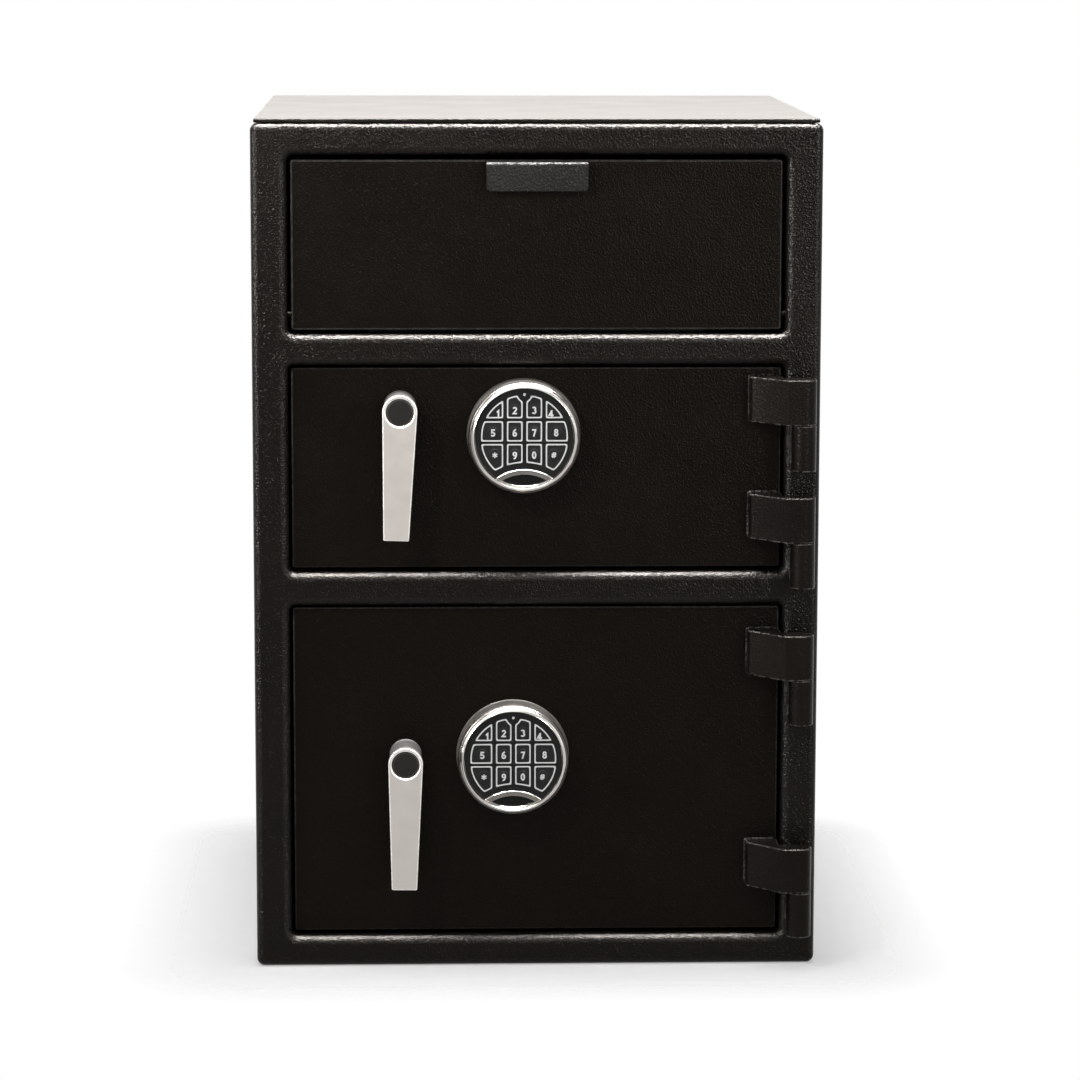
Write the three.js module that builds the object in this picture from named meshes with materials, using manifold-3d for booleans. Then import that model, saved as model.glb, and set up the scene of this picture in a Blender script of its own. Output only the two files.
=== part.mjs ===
// Drop safe with a tilting deposit hopper above two keypad doors.
// Millimetres, +Z up. Origin at the centre of the base, front towards -Y, hinges at +X.
import * as THREE from 'three';
import { mergeVertices } from 'three/addons/utils/BufferGeometryUtils.js';
import Module from 'manifold-3d';

const wasm = await Module();
wasm.setup();

// Cabinet
const bodyWidth = 508;
const bodyDepth = 508;
const sheet = 3.4;
const seam = 0.3;
const bodyCorner = 7;
const topInset = 3;
const topFlange = 24;
const topCorner = 2;
const topEdge = 0.4;
const anchorHole = 13;
const anchorInsetX = 84;
const anchorInsetY = 100;

// Front frame, from the floor up
const stileWidth = 32;
const bottomRail = 27.5;
const lowerOpeningHeight = 305;
const middleRail = 29.9;
const upperOpeningHeight = 187.1;
const hopperRail = 27.5;
const hopperOpeningHeight = 159.5;
const headRail = 27.8;
const frameReturn = 32;
const rimBend = 6;
const openingBend = 7;
const openingCorner = 6;
const foldLap = 4;

// Doors
const doorRecess = 12;
const doorThickness = 12.7;
const doorSideGap = 2.5;
const doorEndGap = 3.1;
const doorEdgeRadius = 1.2;
const doorCorner = 2;

// Hinges
const hingeAxisInset = 17;
const hingeAxisAhead = 35.5;
const knuckleRadius = 11;
const knuckleHeight = 41;
const hingePinRadius = 6;
const hingePinLength = 35;
const hingePinHeadroom = 1.5;
const boreClearance = 0.3;
const strapReach = 28.5;
const strapEndThickness = 17;
const strapEndRound = 5;
const strapShoulder = 2.5;
const postFootWidth = 18;

// Handle
const leverLength = 114.5;
const leverHeadRadius = 15.5;
const leverTipWidth = 23;
const leverThickness = 9;
const leverFront = 50;
const leverEdge = 1.2;
const capRadius = 12;
const capRecess = 1;
const hubRadius = 14.5;
const spindleRadius = 8;
const handleTurn = 60;

// Bolt work behind each door
const boltRadius = 11;
const boltThrow = 22;
const boltChamfer = 2;
const boltRetractedGap = 7;
const boltBehindReturn = 2;
const boltMargin = 17;
const guidePlate = 6;
const guideInset = 18;
const guideMargin = 14;
const guideDepth = 39;
const carriageThickness = 5;
const carriageMargin = 22;
const carriageCorner = 4;
const carriageWeldLap = 4;
const carriageGuideGap = 8;
const camThickness = 8;
const camHubRadius = 11;
const camEndRadius = 7;
const camPinRadius = 4;
const camSlotPlay = 0.5;
const camPlateGap = 2.5;
const studRadius = 5;
const studHeadRadius = 9;
const studHeadThickness = 4;
const studOffset = 22;
const studMargin = 18;
const deadBarReach = 12.5;
const deadBarThickness = 10;
const deadBarClear = 5;
const deadBarMargin = 20;
const deadBarFoot = 10;
const deadBarInset = 14;

// Lock behind each keypad
const lockWidth = 82;
const lockHeight = 60;
const lockDepth = 26;
const lockCorner = 5;
const lockBoltHeight = 20;
const lockBoltThickness = 9;
const lockBoltThrow = 16;
const lockBoltLength = 28;
const lockBoltProud = 3;
const lockBoltCorner = 1.5;
const lockPocket = 30;
const lockBoltGap = 1;
const lockScrewRadius = 3.5;
const lockScrewHead = 2;
const lockScrewInset = 9;

// Keypads
const keypadRadius = 51;
const keypadFrontRadius = 50;
const keypadDepth = 30;
const keypadBase = 4;
const bezelHeight = 5;
const bezelShoulderRadius = 49.2;
const bezelCrestRadius = 47;
const bezelInnerRadius = 44.3;
const bezelInnerDrop = 1.5;
const panelFront = 27.5;
const panelThickness = 7;
const cuspRadius = 45;
const cuspRise = 27.8;
const badgeWidth = 38;
const badgeHeight = 11.6;
const badgeCentre = 38.6;
const badgeRecess = 0.8;
const keyFieldRadius = 39.3;
const keyFootRadius = 50.6;
const keyNotchRadius = 5.5;
const keyNotchCentre = 39;
const keyColumnWidth = 14.5;
const keyGap = 2.8;
const keyRowTop = 17.8;
const keyMiddleTop = 15.7;
const keyMiddleBottom = -3;
const keyFootTop = -4.7;
const keyThickness = 3.8;
const keyProud = 0.8;
const keyTravel = 0.8;
const lampRadius = 1.2;

// Hopper
const hopperSideGap = 3.1;
const hopperFootGap = 3;
const hopperHeadGap = 5;
const hopperPlate = 6.4;
const hopperCorner = 2;
const hopperEdge = 1.5;
const pivotRise = 16.8;
const pivotRadius = 3.1;
const pivotReach = 9;
const pivotClearance = 0.3;
const hopperOpen = 48;
const bucketSheet = 2.5;
const bucketInset = 5;
const bucketFloorSlope = 30;
const bucketRoofClear = 0.8;
const bucketHeadClear = 4;
const bucketStopClear = 3;
const baffleGap = 4;
const baffleLap = 3;
const baffleFlange = 20;
const pullWidth = 90;
const pullHeight = 26;
const pullSheet = 3;
const pullStandoff = 15;
const pullHeadDrop = 1;
const pullCorner = 3;
const stopDepth = 14;
const stopWidth = 300;

// Compartment shelf
const shelfDrop = 9;
const shelfFlange = 20;

// Where things sit on each door, from its lower edge and its centre line
const doorLayout = {
  lower: {
    hingeTopDrop: 20.3,
    hingeFootRise: 83.4,
    handleX: -118.2,
    handleDrop: 135.4,
    leverLean: 0.7,
    keypadX: -21.3,
    keypadDrop: 135.9,
    boltCount: 3,
  },
  upper: {
    hingeTopDrop: 7.3,
    hingeFootRise: 68.1,
    handleX: -122.3,
    handleDrop: 35,
    leverLean: 1.8,
    keypadX: -11.6,
    keypadDrop: 60.5,
    boltCount: 2,
  },
};

// Facets of round shapes
const facets = { bend: 3, corner: 3, bore: 16, bolt: 20, keypad: 40, field: 64, head: 20, baffle: 10 };

// How far a cutting tool runs past a face, and a joined piece into its neighbour
const overcut = 1;

// Sizes that follow from the ones above
const frontY = -bodyDepth / 2;
const backY = bodyDepth / 2;
const halfWidth = bodyWidth / 2;
const openingHalf = halfWidth - stileWidth;
const returnEndY = frontY + frameReturn;
const faceY = frontY + doorRecess;
const doorHalf = openingHalf - doorSideGap;
const lowerOpening = { bottom: bottomRail, top: bottomRail + lowerOpeningHeight };
const upperOpeningBottom = lowerOpening.top + middleRail;
const upperOpening = { bottom: upperOpeningBottom, top: upperOpeningBottom + upperOpeningHeight };
const hopperOpeningBottom = upperOpening.top + hopperRail;
const hopperOpening = { bottom: hopperOpeningBottom, top: hopperOpeningBottom + hopperOpeningHeight };
const shellTop = hopperOpening.top + headRail;
const bodyHeight = shellTop + seam + sheet;
const hingeAxisX = halfWidth - hingeAxisInset;
const radians = Math.PI / 180;

const paint = (color, roughness, metalness) =>
  new THREE.MeshStandardMaterial({ color, roughness, metalness });
const finish = {
  frame: () => paint(0x25211e, 0.55, 0.2),
  door: () => paint(0x1b1714, 0.6, 0.15),
  hinge: () => paint(0x211d1a, 0.5, 0.2),
  steel: () => paint(0x8d8a85, 0.4, 0.9),
  lever: () => paint(0xc9c1ba, 0.38, 0.85),
  hub: () => paint(0x4f4b48, 0.5, 0.4),
  cap: () => paint(0x37332e, 0.45, 0.1),
  chrome: () => paint(0xb9b6b2, 0.15, 1),
  panel: () => paint(0x100e0d, 0.35, 0),
  key: () => paint(0x171514, 0.5, 0),
  lock: () => paint(0x77797c, 0.5, 0.7),
};

// A closed mesh whose faces point out, from any closed geometry.
function solidOf(geometry) {
  geometry.deleteAttribute('normal');
  geometry.deleteAttribute('uv');
  const merged = mergeVertices(geometry, 1e-4);
  const position = merged.getAttribute('position');
  const triangles = [];
  let volume = 0;
  const a = new THREE.Vector3();
  const b = new THREE.Vector3();
  const c = new THREE.Vector3();
  for (let i = 0; i < merged.index.count; i += 3) {
    const [p, q, r] = [0, 1, 2].map((k) => merged.index.getX(i + k));
    if (p === q || q === r || r === p) continue;
    triangles.push(p, q, r);
    volume += a.fromBufferAttribute(position, p).dot(
      b.fromBufferAttribute(position, q).cross(c.fromBufferAttribute(position, r)));
  }
  if (volume < 0) triangles.reverse();
  return new wasm.Manifold(new wasm.Mesh({
    numProp: 3,
    vertProperties: Float32Array.from(position.array),
    triVerts: Uint32Array.from(triangles),
  }));
}

// The three.js geometry of a solid, in sharp facets.
function geometryOf(solid) {
  const mesh = solid.getMesh();
  const geometry = new THREE.BufferGeometry();
  geometry.setAttribute('position', new THREE.BufferAttribute(Float32Array.from(mesh.vertProperties), 3));
  geometry.setIndex(new THREE.BufferAttribute(Uint32Array.from(mesh.triVerts), 1));
  geometry.computeVertexNormals();
  return geometry;
}

const joined = (...solids) => solids.flat().reduce((all, next) => all.add(next));
const cutBy = (solid, ...tools) => tools.flat().reduce((left, tool) => left.subtract(tool), solid);

function block(x0, x1, y0, y1, z0, z1) {
  const geometry = new THREE.BoxGeometry(x1 - x0, y1 - y0, z1 - z0);
  geometry.translate((x0 + x1) / 2, (y0 + y1) / 2, (z0 + z1) / 2);
  return solidOf(geometry);
}

// Drawing planes: local x, local y and the direction of extrusion.
const planes = {
  XY: new THREE.Matrix4(),
  XZ: new THREE.Matrix4().makeBasis(
    new THREE.Vector3(1, 0, 0), new THREE.Vector3(0, 0, 1), new THREE.Vector3(0, -1, 0)),
  YZ: new THREE.Matrix4().makeBasis(
    new THREE.Vector3(0, 1, 0), new THREE.Vector3(0, 0, 1), new THREE.Vector3(1, 0, 0)),
};

// An outline drawn in a plane, with optional holes, carried from one height to another.
function prism(plane, outline, from, to, { edge = 0, holes = [], steps = 2 } = {}) {
  const shape = new THREE.Shape(outline.map(([u, v]) => new THREE.Vector2(u, v)));
  shape.holes = holes.map((hole) => new THREE.Path(hole.map(([u, v]) => new THREE.Vector2(u, v))));
  const geometry = new THREE.ExtrudeGeometry(shape, {
    depth: to - from - 2 * edge,
    bevelEnabled: edge > 0,
    bevelThickness: edge,
    bevelSize: edge,
    bevelOffset: -edge,
    bevelSegments: steps,
  });
  geometry.translate(0, 0, (plane === 'XZ' ? -to : from) + edge);
  geometry.applyMatrix4(planes[plane]);
  return solidOf(geometry);
}

const arc = (cu, cv, radius, from, to, count) => Array.from({ length: count + 1 }, (_, i) => {
  const angle = (from + ((to - from) * i) / count) * radians;
  return [cu + radius * Math.cos(angle), cv + radius * Math.sin(angle)];
});

const circle = (cu, cv, radius, count) => arc(cu, cv, radius, 0, 360, count).slice(0, -1);

function roundedRectangle(u0, u1, v0, v1, radius, count = facets.corner) {
  return [
    ...arc(u1 - radius, v1 - radius, radius, 0, 90, count),
    ...arc(u0 + radius, v1 - radius, radius, 90, 180, count),
    ...arc(u0 + radius, v0 + radius, radius, 180, 270, count),
    ...arc(u1 - radius, v0 + radius, radius, 270, 360, count),
  ];
}

// A slot of the given radius whose end centres lie at (u0, v0) and (u1, v1).
function slot(u0, v0, u1, v1, radius) {
  const heading = Math.atan2(v1 - v0, u1 - u0) / radians;
  const half = facets.bore / 2;
  return [
    ...arc(u1, v1, radius, heading - 90, heading + 90, half),
    ...arc(u0, v0, radius, heading + 90, heading + 270, half),
  ];
}

const rodX = (radius, x0, x1, y, z, count) => prism('YZ', circle(y, z, radius, count), x0, x1);
const rodY = (radius, y0, y1, x, z, count) => prism('XZ', circle(x, z, radius, count), y0, y1);
const rodZ = (radius, z0, z1, x, y, count) => prism('XY', circle(x, y, radius, count), z0, z1);

// A revolve about the Y axis. Profile points are [radius, distance ahead of the door face].
function revolve(profile, count) {
  const geometry = new THREE.LatheGeometry(profile.map(([r, d]) => new THREE.Vector2(r, d)), count);
  geometry.rotateX(Math.PI);
  return solidOf(geometry);
}

// Corner stations of a rounded rectangle: a point at inset u lies at centre + (radius - u) * n.
function cornerStations(x0, x1, z0, z1, radius) {
  const centres = [[x1 - radius, z1 - radius], [x0 + radius, z1 - radius],
    [x0 + radius, z0 + radius], [x1 - radius, z0 + radius]];
  return centres.flatMap(([cx, cz], quarter) =>
    arc(0, 0, 1, quarter * 90, quarter * 90 + 90, facets.corner)
      .map(([nx, nz]) => ({ cx, cz, nx, nz, radius })));
}

// A ring of triangles between two rows of a point grid.
function bridge(index, rowA, rowB, count) {
  for (let i = 0; i < count; i += 1) {
    const next = (i + 1) % count;
    index.push(rowA + i, rowB + i, rowB + next, rowA + i, rowB + next, rowA + next);
  }
}

function meshSolid(points, index) {
  const geometry = new THREE.BufferGeometry();
  geometry.setAttribute('position', new THREE.Float32BufferAttribute(points.flat(), 3));
  geometry.setIndex(index);
  return solidOf(geometry);
}

// A block of rounded-rectangle layers, each [inset, y], closed by flat ends.
function layeredBlock(stations, layers) {
  const points = layers.flatMap(([inset, y]) =>
    stations.map(({ cx, cz, nx, nz, radius }) =>
      [cx + (radius - inset) * nx, y, cz + (radius - inset) * nz]));
  const count = stations.length;
  const index = [];
  for (let row = 0; row + 1 < layers.length; row += 1) bridge(index, row * count, (row + 1) * count, count);
  const last = (layers.length - 1) * count;
  for (let i = 1; i + 1 < count; i += 1) {
    index.push(0, i, i + 1);
    index.push(last, last + i + 1, last + i);
  }
  return meshSolid(points, index);
}

// A folded section, each point [offset outwards, depth], carried round a rectangular opening.
function foldedRing(stations, section) {
  const points = section.flatMap(([offset, depth]) => stations.map(({ cx, cz, nx, nz, radius }) =>
    [cx + (radius + offset) * nx, frontY + depth, cz + (radius + offset) * nz]));
  const count = stations.length;
  const index = [];
  section.forEach((_, row) => bridge(index, row * count, ((row + 1) % section.length) * count, count));
  return meshSolid(points, index);
}

const part = new THREE.Group();

function add(group, name, solid, material, position = [0, 0, 0], turnY = 0) {
  const mesh = new THREE.Mesh(geometryOf(solid), material);
  mesh.name = name;
  mesh.position.set(...position);
  mesh.rotation.y = turnY;
  group.add(mesh);
}

// Cabinet: a bent wrap of floor and sides, a welded back, a roof plate laid on the flanges.
function cabinetShell() {
  const x = halfWidth;
  const inner = bodyCorner - sheet;
  const outside = [
    [x - topFlange, shellTop],
    ...arc(x - bodyCorner, shellTop - bodyCorner, bodyCorner, 90, 0, facets.corner),
    ...arc(x - bodyCorner, bodyCorner, bodyCorner, 0, -90, facets.corner),
    ...arc(-x + bodyCorner, bodyCorner, bodyCorner, -90, -180, facets.corner),
    ...arc(-x + bodyCorner, shellTop - bodyCorner, bodyCorner, 180, 90, facets.corner),
    [-x + topFlange, shellTop],
  ];
  const inside = [
    [-x + topFlange, shellTop - sheet],
    ...arc(-x + bodyCorner, shellTop - bodyCorner, inner, 90, 180, facets.corner),
    ...arc(-x + bodyCorner, bodyCorner, inner, -180, -90, facets.corner),
    ...arc(x - bodyCorner, bodyCorner, inner, -90, 0, facets.corner),
    ...arc(x - bodyCorner, shellTop - bodyCorner, inner, 0, 90, facets.corner),
    [x - topFlange, shellTop - sheet],
  ];
  const wrap = prism('XZ', [...outside, ...inside], frontY + rimBend + seam, backY - sheet - seam);
  const holes = [-1, 1].flatMap((side) => [-1, 1].map((end) => rodZ(anchorHole / 2, -overcut, sheet + overcut,
    side * (halfWidth - anchorInsetX), end * (backY - anchorInsetY), facets.bore)));
  return cutBy(wrap, holes);
}

// Front frame: a rolled outer rim, and three openings whose edges fold back into returns.
function frontFrame() {
  const outer = cornerStations(-halfWidth, halfWidth, 0, shellTop, bodyCorner);
  const rolled = (thickness) => arc(0, 0, rimBend - thickness, 90, 0, facets.bend)
    .map(([u, v]) => [rimBend - u, frontY + rimBend - v]);
  const pocket = [...rolled(sheet), [sheet, frontY + rimBend + overcut]];
  const pan = cutBy(layeredBlock(outer, rolled(0)), layeredBlock(outer, pocket));
  const lip = openingBend + foldLap;
  const bendIn = arc(openingBend, openingBend, openingBend, 270, 180, facets.bend);
  const bendOut = arc(openingBend, openingBend, openingBend - sheet, 180, 270, facets.bend);
  const section = [[lip, 0], ...bendIn, [0, frameReturn], [sheet, frameReturn], ...bendOut, [lip, sheet]];
  const openings = [lowerOpening, upperOpening, hopperOpening];
  const holes = openings.map(({ bottom, top }) => prism('XZ', roundedRectangle(
    -openingHalf - openingBend, openingHalf + openingBend, bottom - openingBend, top + openingBend,
    openingCorner + openingBend), frontY - overcut, frontY + sheet + overcut));
  const returns = openings.map(({ bottom, top }) => foldedRing(
    cornerStations(-openingHalf, openingHalf, bottom, top, openingCorner), section));
  const pivotHole = rodX(pivotRadius + pivotClearance, -openingHalf - 2 * sheet, openingHalf + 2 * sheet,
    pivotY, pivotZ, facets.bore);
  return cutBy(joined(cutBy(pan, holes), returns), pivotHole);
}

// Hopper pivot, in line with the middle of its face plate. The bucket sweeps just under the roof.
const pivotY = faceY + hopperPlate / 2;
const pivotZ = hopperOpening.bottom + pivotRise;
const roofRise = shellTop - sheet - seam - pivotZ;
const bucketFloorLength = roofRise - bucketRoofClear;
const hopperHalf = openingHalf - hopperSideGap;
const bucketHalf = hopperHalf - bucketInset;

function topPlate() {
  const half = halfWidth - topInset;
  return prism('XY', roundedRectangle(-half, half, frontY + topInset, backY - topInset, topCorner),
    bodyHeight - sheet, bodyHeight, { edge: topEdge, steps: 1 });
}

function backPlate() {
  return prism('XZ', roundedRectangle(-halfWidth, halfWidth, 0, shellTop, bodyCorner), backY - sheet, backY);
}

// Shelf between the two compartments, folded down at both sides.
function compartmentShelf() {
  const half = halfWidth - sheet - seam;
  const top = upperOpening.bottom - shelfDrop;
  const outline = [
    [-half, top], [-half, top - shelfFlange],
    [-half + sheet, top - shelfFlange], [-half + sheet, top - sheet],
    [half - sheet, top - sheet], [half - sheet, top - shelfFlange],
    [half, top - shelfFlange], [half, top],
  ];
  return prism('XZ', outline, returnEndY + seam, backY - sheet - seam);
}

// Curved plate behind the bucket, so that nothing can be reached past the open hopper.
function antiFishBaffle() {
  const radius = bucketFloorLength + baffleGap;
  const outer = radius + bucketSheet;
  const first = hopperOpen - bucketFloorSlope - baffleLap;
  const last = Math.asin((roofRise - bucketSheet) / outer) / radians;
  const curve = [...arc(0, 0, radius, first, last, facets.baffle)];
  const back = [...arc(0, 0, outer, last, first, facets.baffle)];
  const [y] = curve[curve.length - 1];
  const flange = [[y, roofRise], [y + baffleFlange, roofRise], [y + baffleFlange, roofRise - bucketSheet]];
  const outline = [...curve, ...flange, ...back].map(([u, v]) => [u + pivotY, v + pivotZ]);
  const half = halfWidth - bodyCorner;
  return prism('YZ', outline, -half, half);
}

// Ledge welded behind the hopper rail: the bucket floor lands on it when the hopper is shut.
function hopperStop() {
  const near = returnEndY + seam;
  const far = near + stopDepth;
  const floorUnder = (y) => pivotZ - (y - floorStartY) * Math.tan(bucketFloorSlope * radians)
    - bucketSheet / Math.cos(bucketFloorSlope * radians) - seam;
  const foot = upperOpening.top + sheet;
  const outline = [[near, foot], [near + sheet, foot], [near + sheet, floorUnder(far) - sheet],
    [far, floorUnder(far) - sheet], [far, floorUnder(far)], [near, floorUnder(near)]];
  return prism('YZ', outline, -stopWidth / 2, stopWidth / 2);
}

const floorStartY = pivotY + hopperPlate / 2 + seam;

// Hopper face with a stub pin at each side, low down in the plate's own thickness.
function hopperFace() {
  const bottom = hopperOpening.bottom + hopperFootGap;
  const top = hopperOpening.top - hopperHeadGap;
  const plate = prism('XZ', roundedRectangle(-hopperHalf, hopperHalf, bottom, top, hopperCorner),
    faceY, faceY + hopperPlate, { edge: hopperEdge });
  const reach = hopperHalf + pivotReach;
  const pins = rodX(pivotRadius, -reach, reach, pivotY, pivotZ, facets.bore);
  return joined(plate, pins);
}

// Pull: a folded lip with finger room behind it, open at the bottom and the sides.
function hopperPull() {
  const top = hopperOpening.top - hopperHeadGap - pullHeadDrop;
  const near = faceY - pullStandoff;
  const front = prism('XZ', [
    ...arc(-pullWidth / 2 + pullCorner, top - pullHeight + pullCorner, pullCorner, 180, 270, 2),
    ...arc(pullWidth / 2 - pullCorner, top - pullHeight + pullCorner, pullCorner, 270, 360, 2),
    [pullWidth / 2, top], [-pullWidth / 2, top],
  ], near, near + pullSheet);
  const web = block(-pullWidth / 2, pullWidth / 2, near, faceY - seam, top - pullSheet, top);
  return joined(front, web);
}

// Bucket: a floor that slopes back when shut and holds a bag when tilted, between two cheeks.
// The step in each cheek meets the frame's return and stops the hopper when it is open.
function hopperBucket() {
  const cheekTop = hopperOpening.top - pivotZ - bucketHeadClear;
  const stopReach = returnEndY + bucketStopClear - pivotY;
  const shoulder = Math.acos(stopReach / (cheekTop + bucketHeadClear)) / radians - hopperOpen;
  const start = floorStartY - pivotY;
  const slope = bucketFloorSlope * radians;
  const floorDrop = bucketSheet / Math.cos(slope);
  const headAngle = Math.acos(start / cheekTop) / radians;
  const floorAt = (y) => -(y - start) * Math.tan(slope);
  const floorEndAngle = -bucketFloorSlope + Math.asin(start * Math.sin(slope) / bucketFloorLength) / radians;
  const endY = bucketFloorLength * Math.cos(floorEndAngle * radians);
  const cheek = [
    [start, floorAt(start) - floorDrop],
    [endY, floorAt(endY) - floorDrop],
    ...arc(0, 0, bucketFloorLength, floorEndAngle, shoulder, 8),
    ...arc(0, 0, cheekTop, shoulder, headAngle, 8),
  ].map(([u, v]) => [u + pivotY, v + pivotZ]);
  const floor = [
    [start, floorAt(start) - floorDrop], [endY, floorAt(endY) - floorDrop],
    [endY, floorAt(endY)], [start, floorAt(start)],
  ].map(([u, v]) => [u + pivotY, v + pivotZ]);
  return joined(
    prism('YZ', cheek, -bucketHalf, -bucketHalf + bucketSheet),
    prism('YZ', cheek, bucketHalf - bucketSheet, bucketHalf),
    prism('YZ', floor, -bucketHalf, bucketHalf));
}

// Pieces of one door are drawn about the middle of its face's lower edge, with y into the safe.
const doorGroups = Object.entries({ lower: lowerOpening, upper: upperOpening }).map(([name, opening]) => {
  const layout = doorLayout[name];
  const height = opening.top - opening.bottom - 2 * doorEndGap;
  return { name, layout, height, bottom: opening.bottom + doorEndGap };
});

const boltY = returnEndY - faceY + boltBehindReturn + boltRadius;
const carriageFront = boltY - carriageThickness / 2;
const camBack = carriageFront - camPlateGap;
const boltTip = -openingHalf + boltRetractedGap;
const guideX = -doorHalf + guideInset;
const carriageLeft = guideX + guidePlate + boltThrow + carriageGuideGap;
const camRadius = boltThrow / (2 * Math.sin((handleTurn / 2) * radians));

function boltHeights({ height, layout }) {
  const span = height - 2 * (guideMargin + boltMargin + boltRadius);
  const start = (height - span) / 2;
  return Array.from({ length: layout.boltCount }, (_, i) => start + (span * i) / (layout.boltCount - 1));
}

const studHeights = ({ height }) => [carriageMargin + studMargin, height - carriageMargin - studMargin];

// Door plate with what is welded to its back: bolt guide, shoulder studs and fixed dead bar.
function doorPlate(door) {
  const { height, layout } = door;
  const plate = prism('XZ', roundedRectangle(-doorHalf, doorHalf, 0, height, doorCorner, 2),
    0, doorThickness, { edge: doorEdgeRadius, steps: 1 });
  const guide = block(guideX, guideX + guidePlate, doorThickness - overcut, doorThickness + guideDepth,
    guideMargin, height - guideMargin);
  const studX = layout.handleX + studOffset;
  const headFront = boltY + carriageThickness / 2 + seam;
  const studs = studHeights(door).map((z) => joined(
    rodY(studRadius, doorThickness - overcut, headFront + overcut, studX, z, facets.bore),
    rodY(studHeadRadius, headFront, headFront + studHeadThickness, studX, z, facets.bore)));
  const barFront = returnEndY - faceY + deadBarClear;
  const footX = doorHalf - deadBarFoot - deadBarInset;
  const foot = block(footX, footX + deadBarFoot, doorThickness - overcut, barFront + overcut,
    deadBarMargin, height - deadBarMargin);
  const bar = block(footX, doorHalf + deadBarReach, barFront, barFront + deadBarThickness,
    deadBarMargin, height - deadBarMargin);
  const bores = boltHeights(door).map((z) => rodX(boltRadius + boreClearance,
    guideX - overcut, guideX + guidePlate + overcut, boltY, z, facets.bolt));
  const spindleBore = rodY(spindleRadius + boreClearance, -overcut, doorThickness + overcut,
    layout.handleX, height - layout.handleDrop, facets.bore);
  return cutBy(joined(plate, guide, studs, foot, bar), bores, spindleBore);
}

// Strap: a solid wedge on the door face that rises to the door's half of the hinge.
function hingeStrap() {
  const near = -seam;
  const back = -(hingeAxisAhead - knuckleRadius);
  const front = -(hingeAxisAhead + knuckleRadius);
  const left = doorHalf - strapReach;
  const outline = [
    [doorHalf, near], [left, near], [left, -strapEndThickness + strapEndRound],
    ...arc(left + strapEndRound, -strapEndThickness + strapEndRound, strapEndRound, 180, 250, 2),
    [doorHalf, front + strapShoulder], [doorHalf + strapShoulder, front],
    ...arc(hingeAxisX, -hingeAxisAhead, knuckleRadius, -90, 90, 10),
    [doorHalf, back],
  ];
  const wedge = prism('XY', outline, 0, knuckleHeight - seam);
  return cutBy(wedge, rodZ(hingePinRadius + boreClearance, -overcut, hingePinLength + hingePinHeadroom,
    hingeAxisX, -hingeAxisAhead, facets.bore));
}

// Post: the cabinet's half of the hinge, welded on the frame, with the pin that carries the door.
function hingePost() {
  const foot = -(doorRecess + seam);
  const outline = [
    [hingeAxisX + postFootWidth / 2, foot],
    ...arc(hingeAxisX, -hingeAxisAhead, knuckleRadius, 0, -180, 12),
    [hingeAxisX - postFootWidth / 2, foot],
  ];
  return joined(prism('XY', outline, -knuckleHeight, 0),
    rodZ(hingePinRadius, -overcut, hingePinLength, hingeAxisX, -hingeAxisAhead, facets.bore));
}

const hingeJunctions = ({ height, layout }) => ({
  top: height - layout.hingeTopDrop - knuckleHeight,
  foot: layout.hingeFootRise - knuckleHeight,
});

function handleHub() {
  const back = -(leverFront - leverThickness) + seam;
  const hub = rodY(hubRadius, back, -seam, 0, 0, facets.head);
  return cutBy(hub, rodY(spindleRadius + boreClearance, back - overcut, overcut, 0, 0, facets.bore));
}

// Lever: a flat bar that tapers from a ring-shaped head to a square tip.
function handleLever() {
  const taper = Math.asin((leverHeadRadius - leverTipWidth / 2) / leverLength) / radians;
  const outline = [
    ...arc(0, 0, leverHeadRadius, -taper, 180 + taper, 14),
    [-leverTipWidth / 2, -leverLength], [leverTipWidth / 2, -leverLength],
  ];
  const bar = prism('XZ', outline, -leverFront, -leverFront + leverThickness, { edge: leverEdge, steps: 1 });
  const bore = rodY(capRadius + boreClearance, -leverFront - overcut, -leverFront + leverThickness + overcut,
    0, 0, facets.head);
  return cutBy(bar, bore);
}

// Spindle: the round cap seen in the lever's head, the shaft through the door, and the cam.
function handleSpindle() {
  const capFront = -leverFront + capRecess;
  const capBack = -leverFront + leverThickness;
  const cap = rodY(capRadius, capFront, capBack, 0, 0, facets.head);
  const shaft = rodY(spindleRadius, capBack - overcut, camBack, 0, 0, facets.bore);
  const lean = -90 + handleTurn / 2;
  const pinAt = [camRadius * Math.cos(lean * radians), camRadius * Math.sin(lean * radians)];
  const spread = Math.acos((camHubRadius - camEndRadius) / camRadius) / radians;
  const arm = prism('XZ', [
    ...arc(0, 0, camHubRadius, lean + spread, lean + 360 - spread, 14),
    ...arc(...pinAt, camEndRadius, lean - spread, lean + spread, 8),
  ], camBack - camThickness, camBack);
  const pin = rodY(camPinRadius, camBack - overcut, carriageFront + carriageThickness, ...pinAt, facets.bore);
  return joined(cap, shaft, arm, pin);
}

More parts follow.
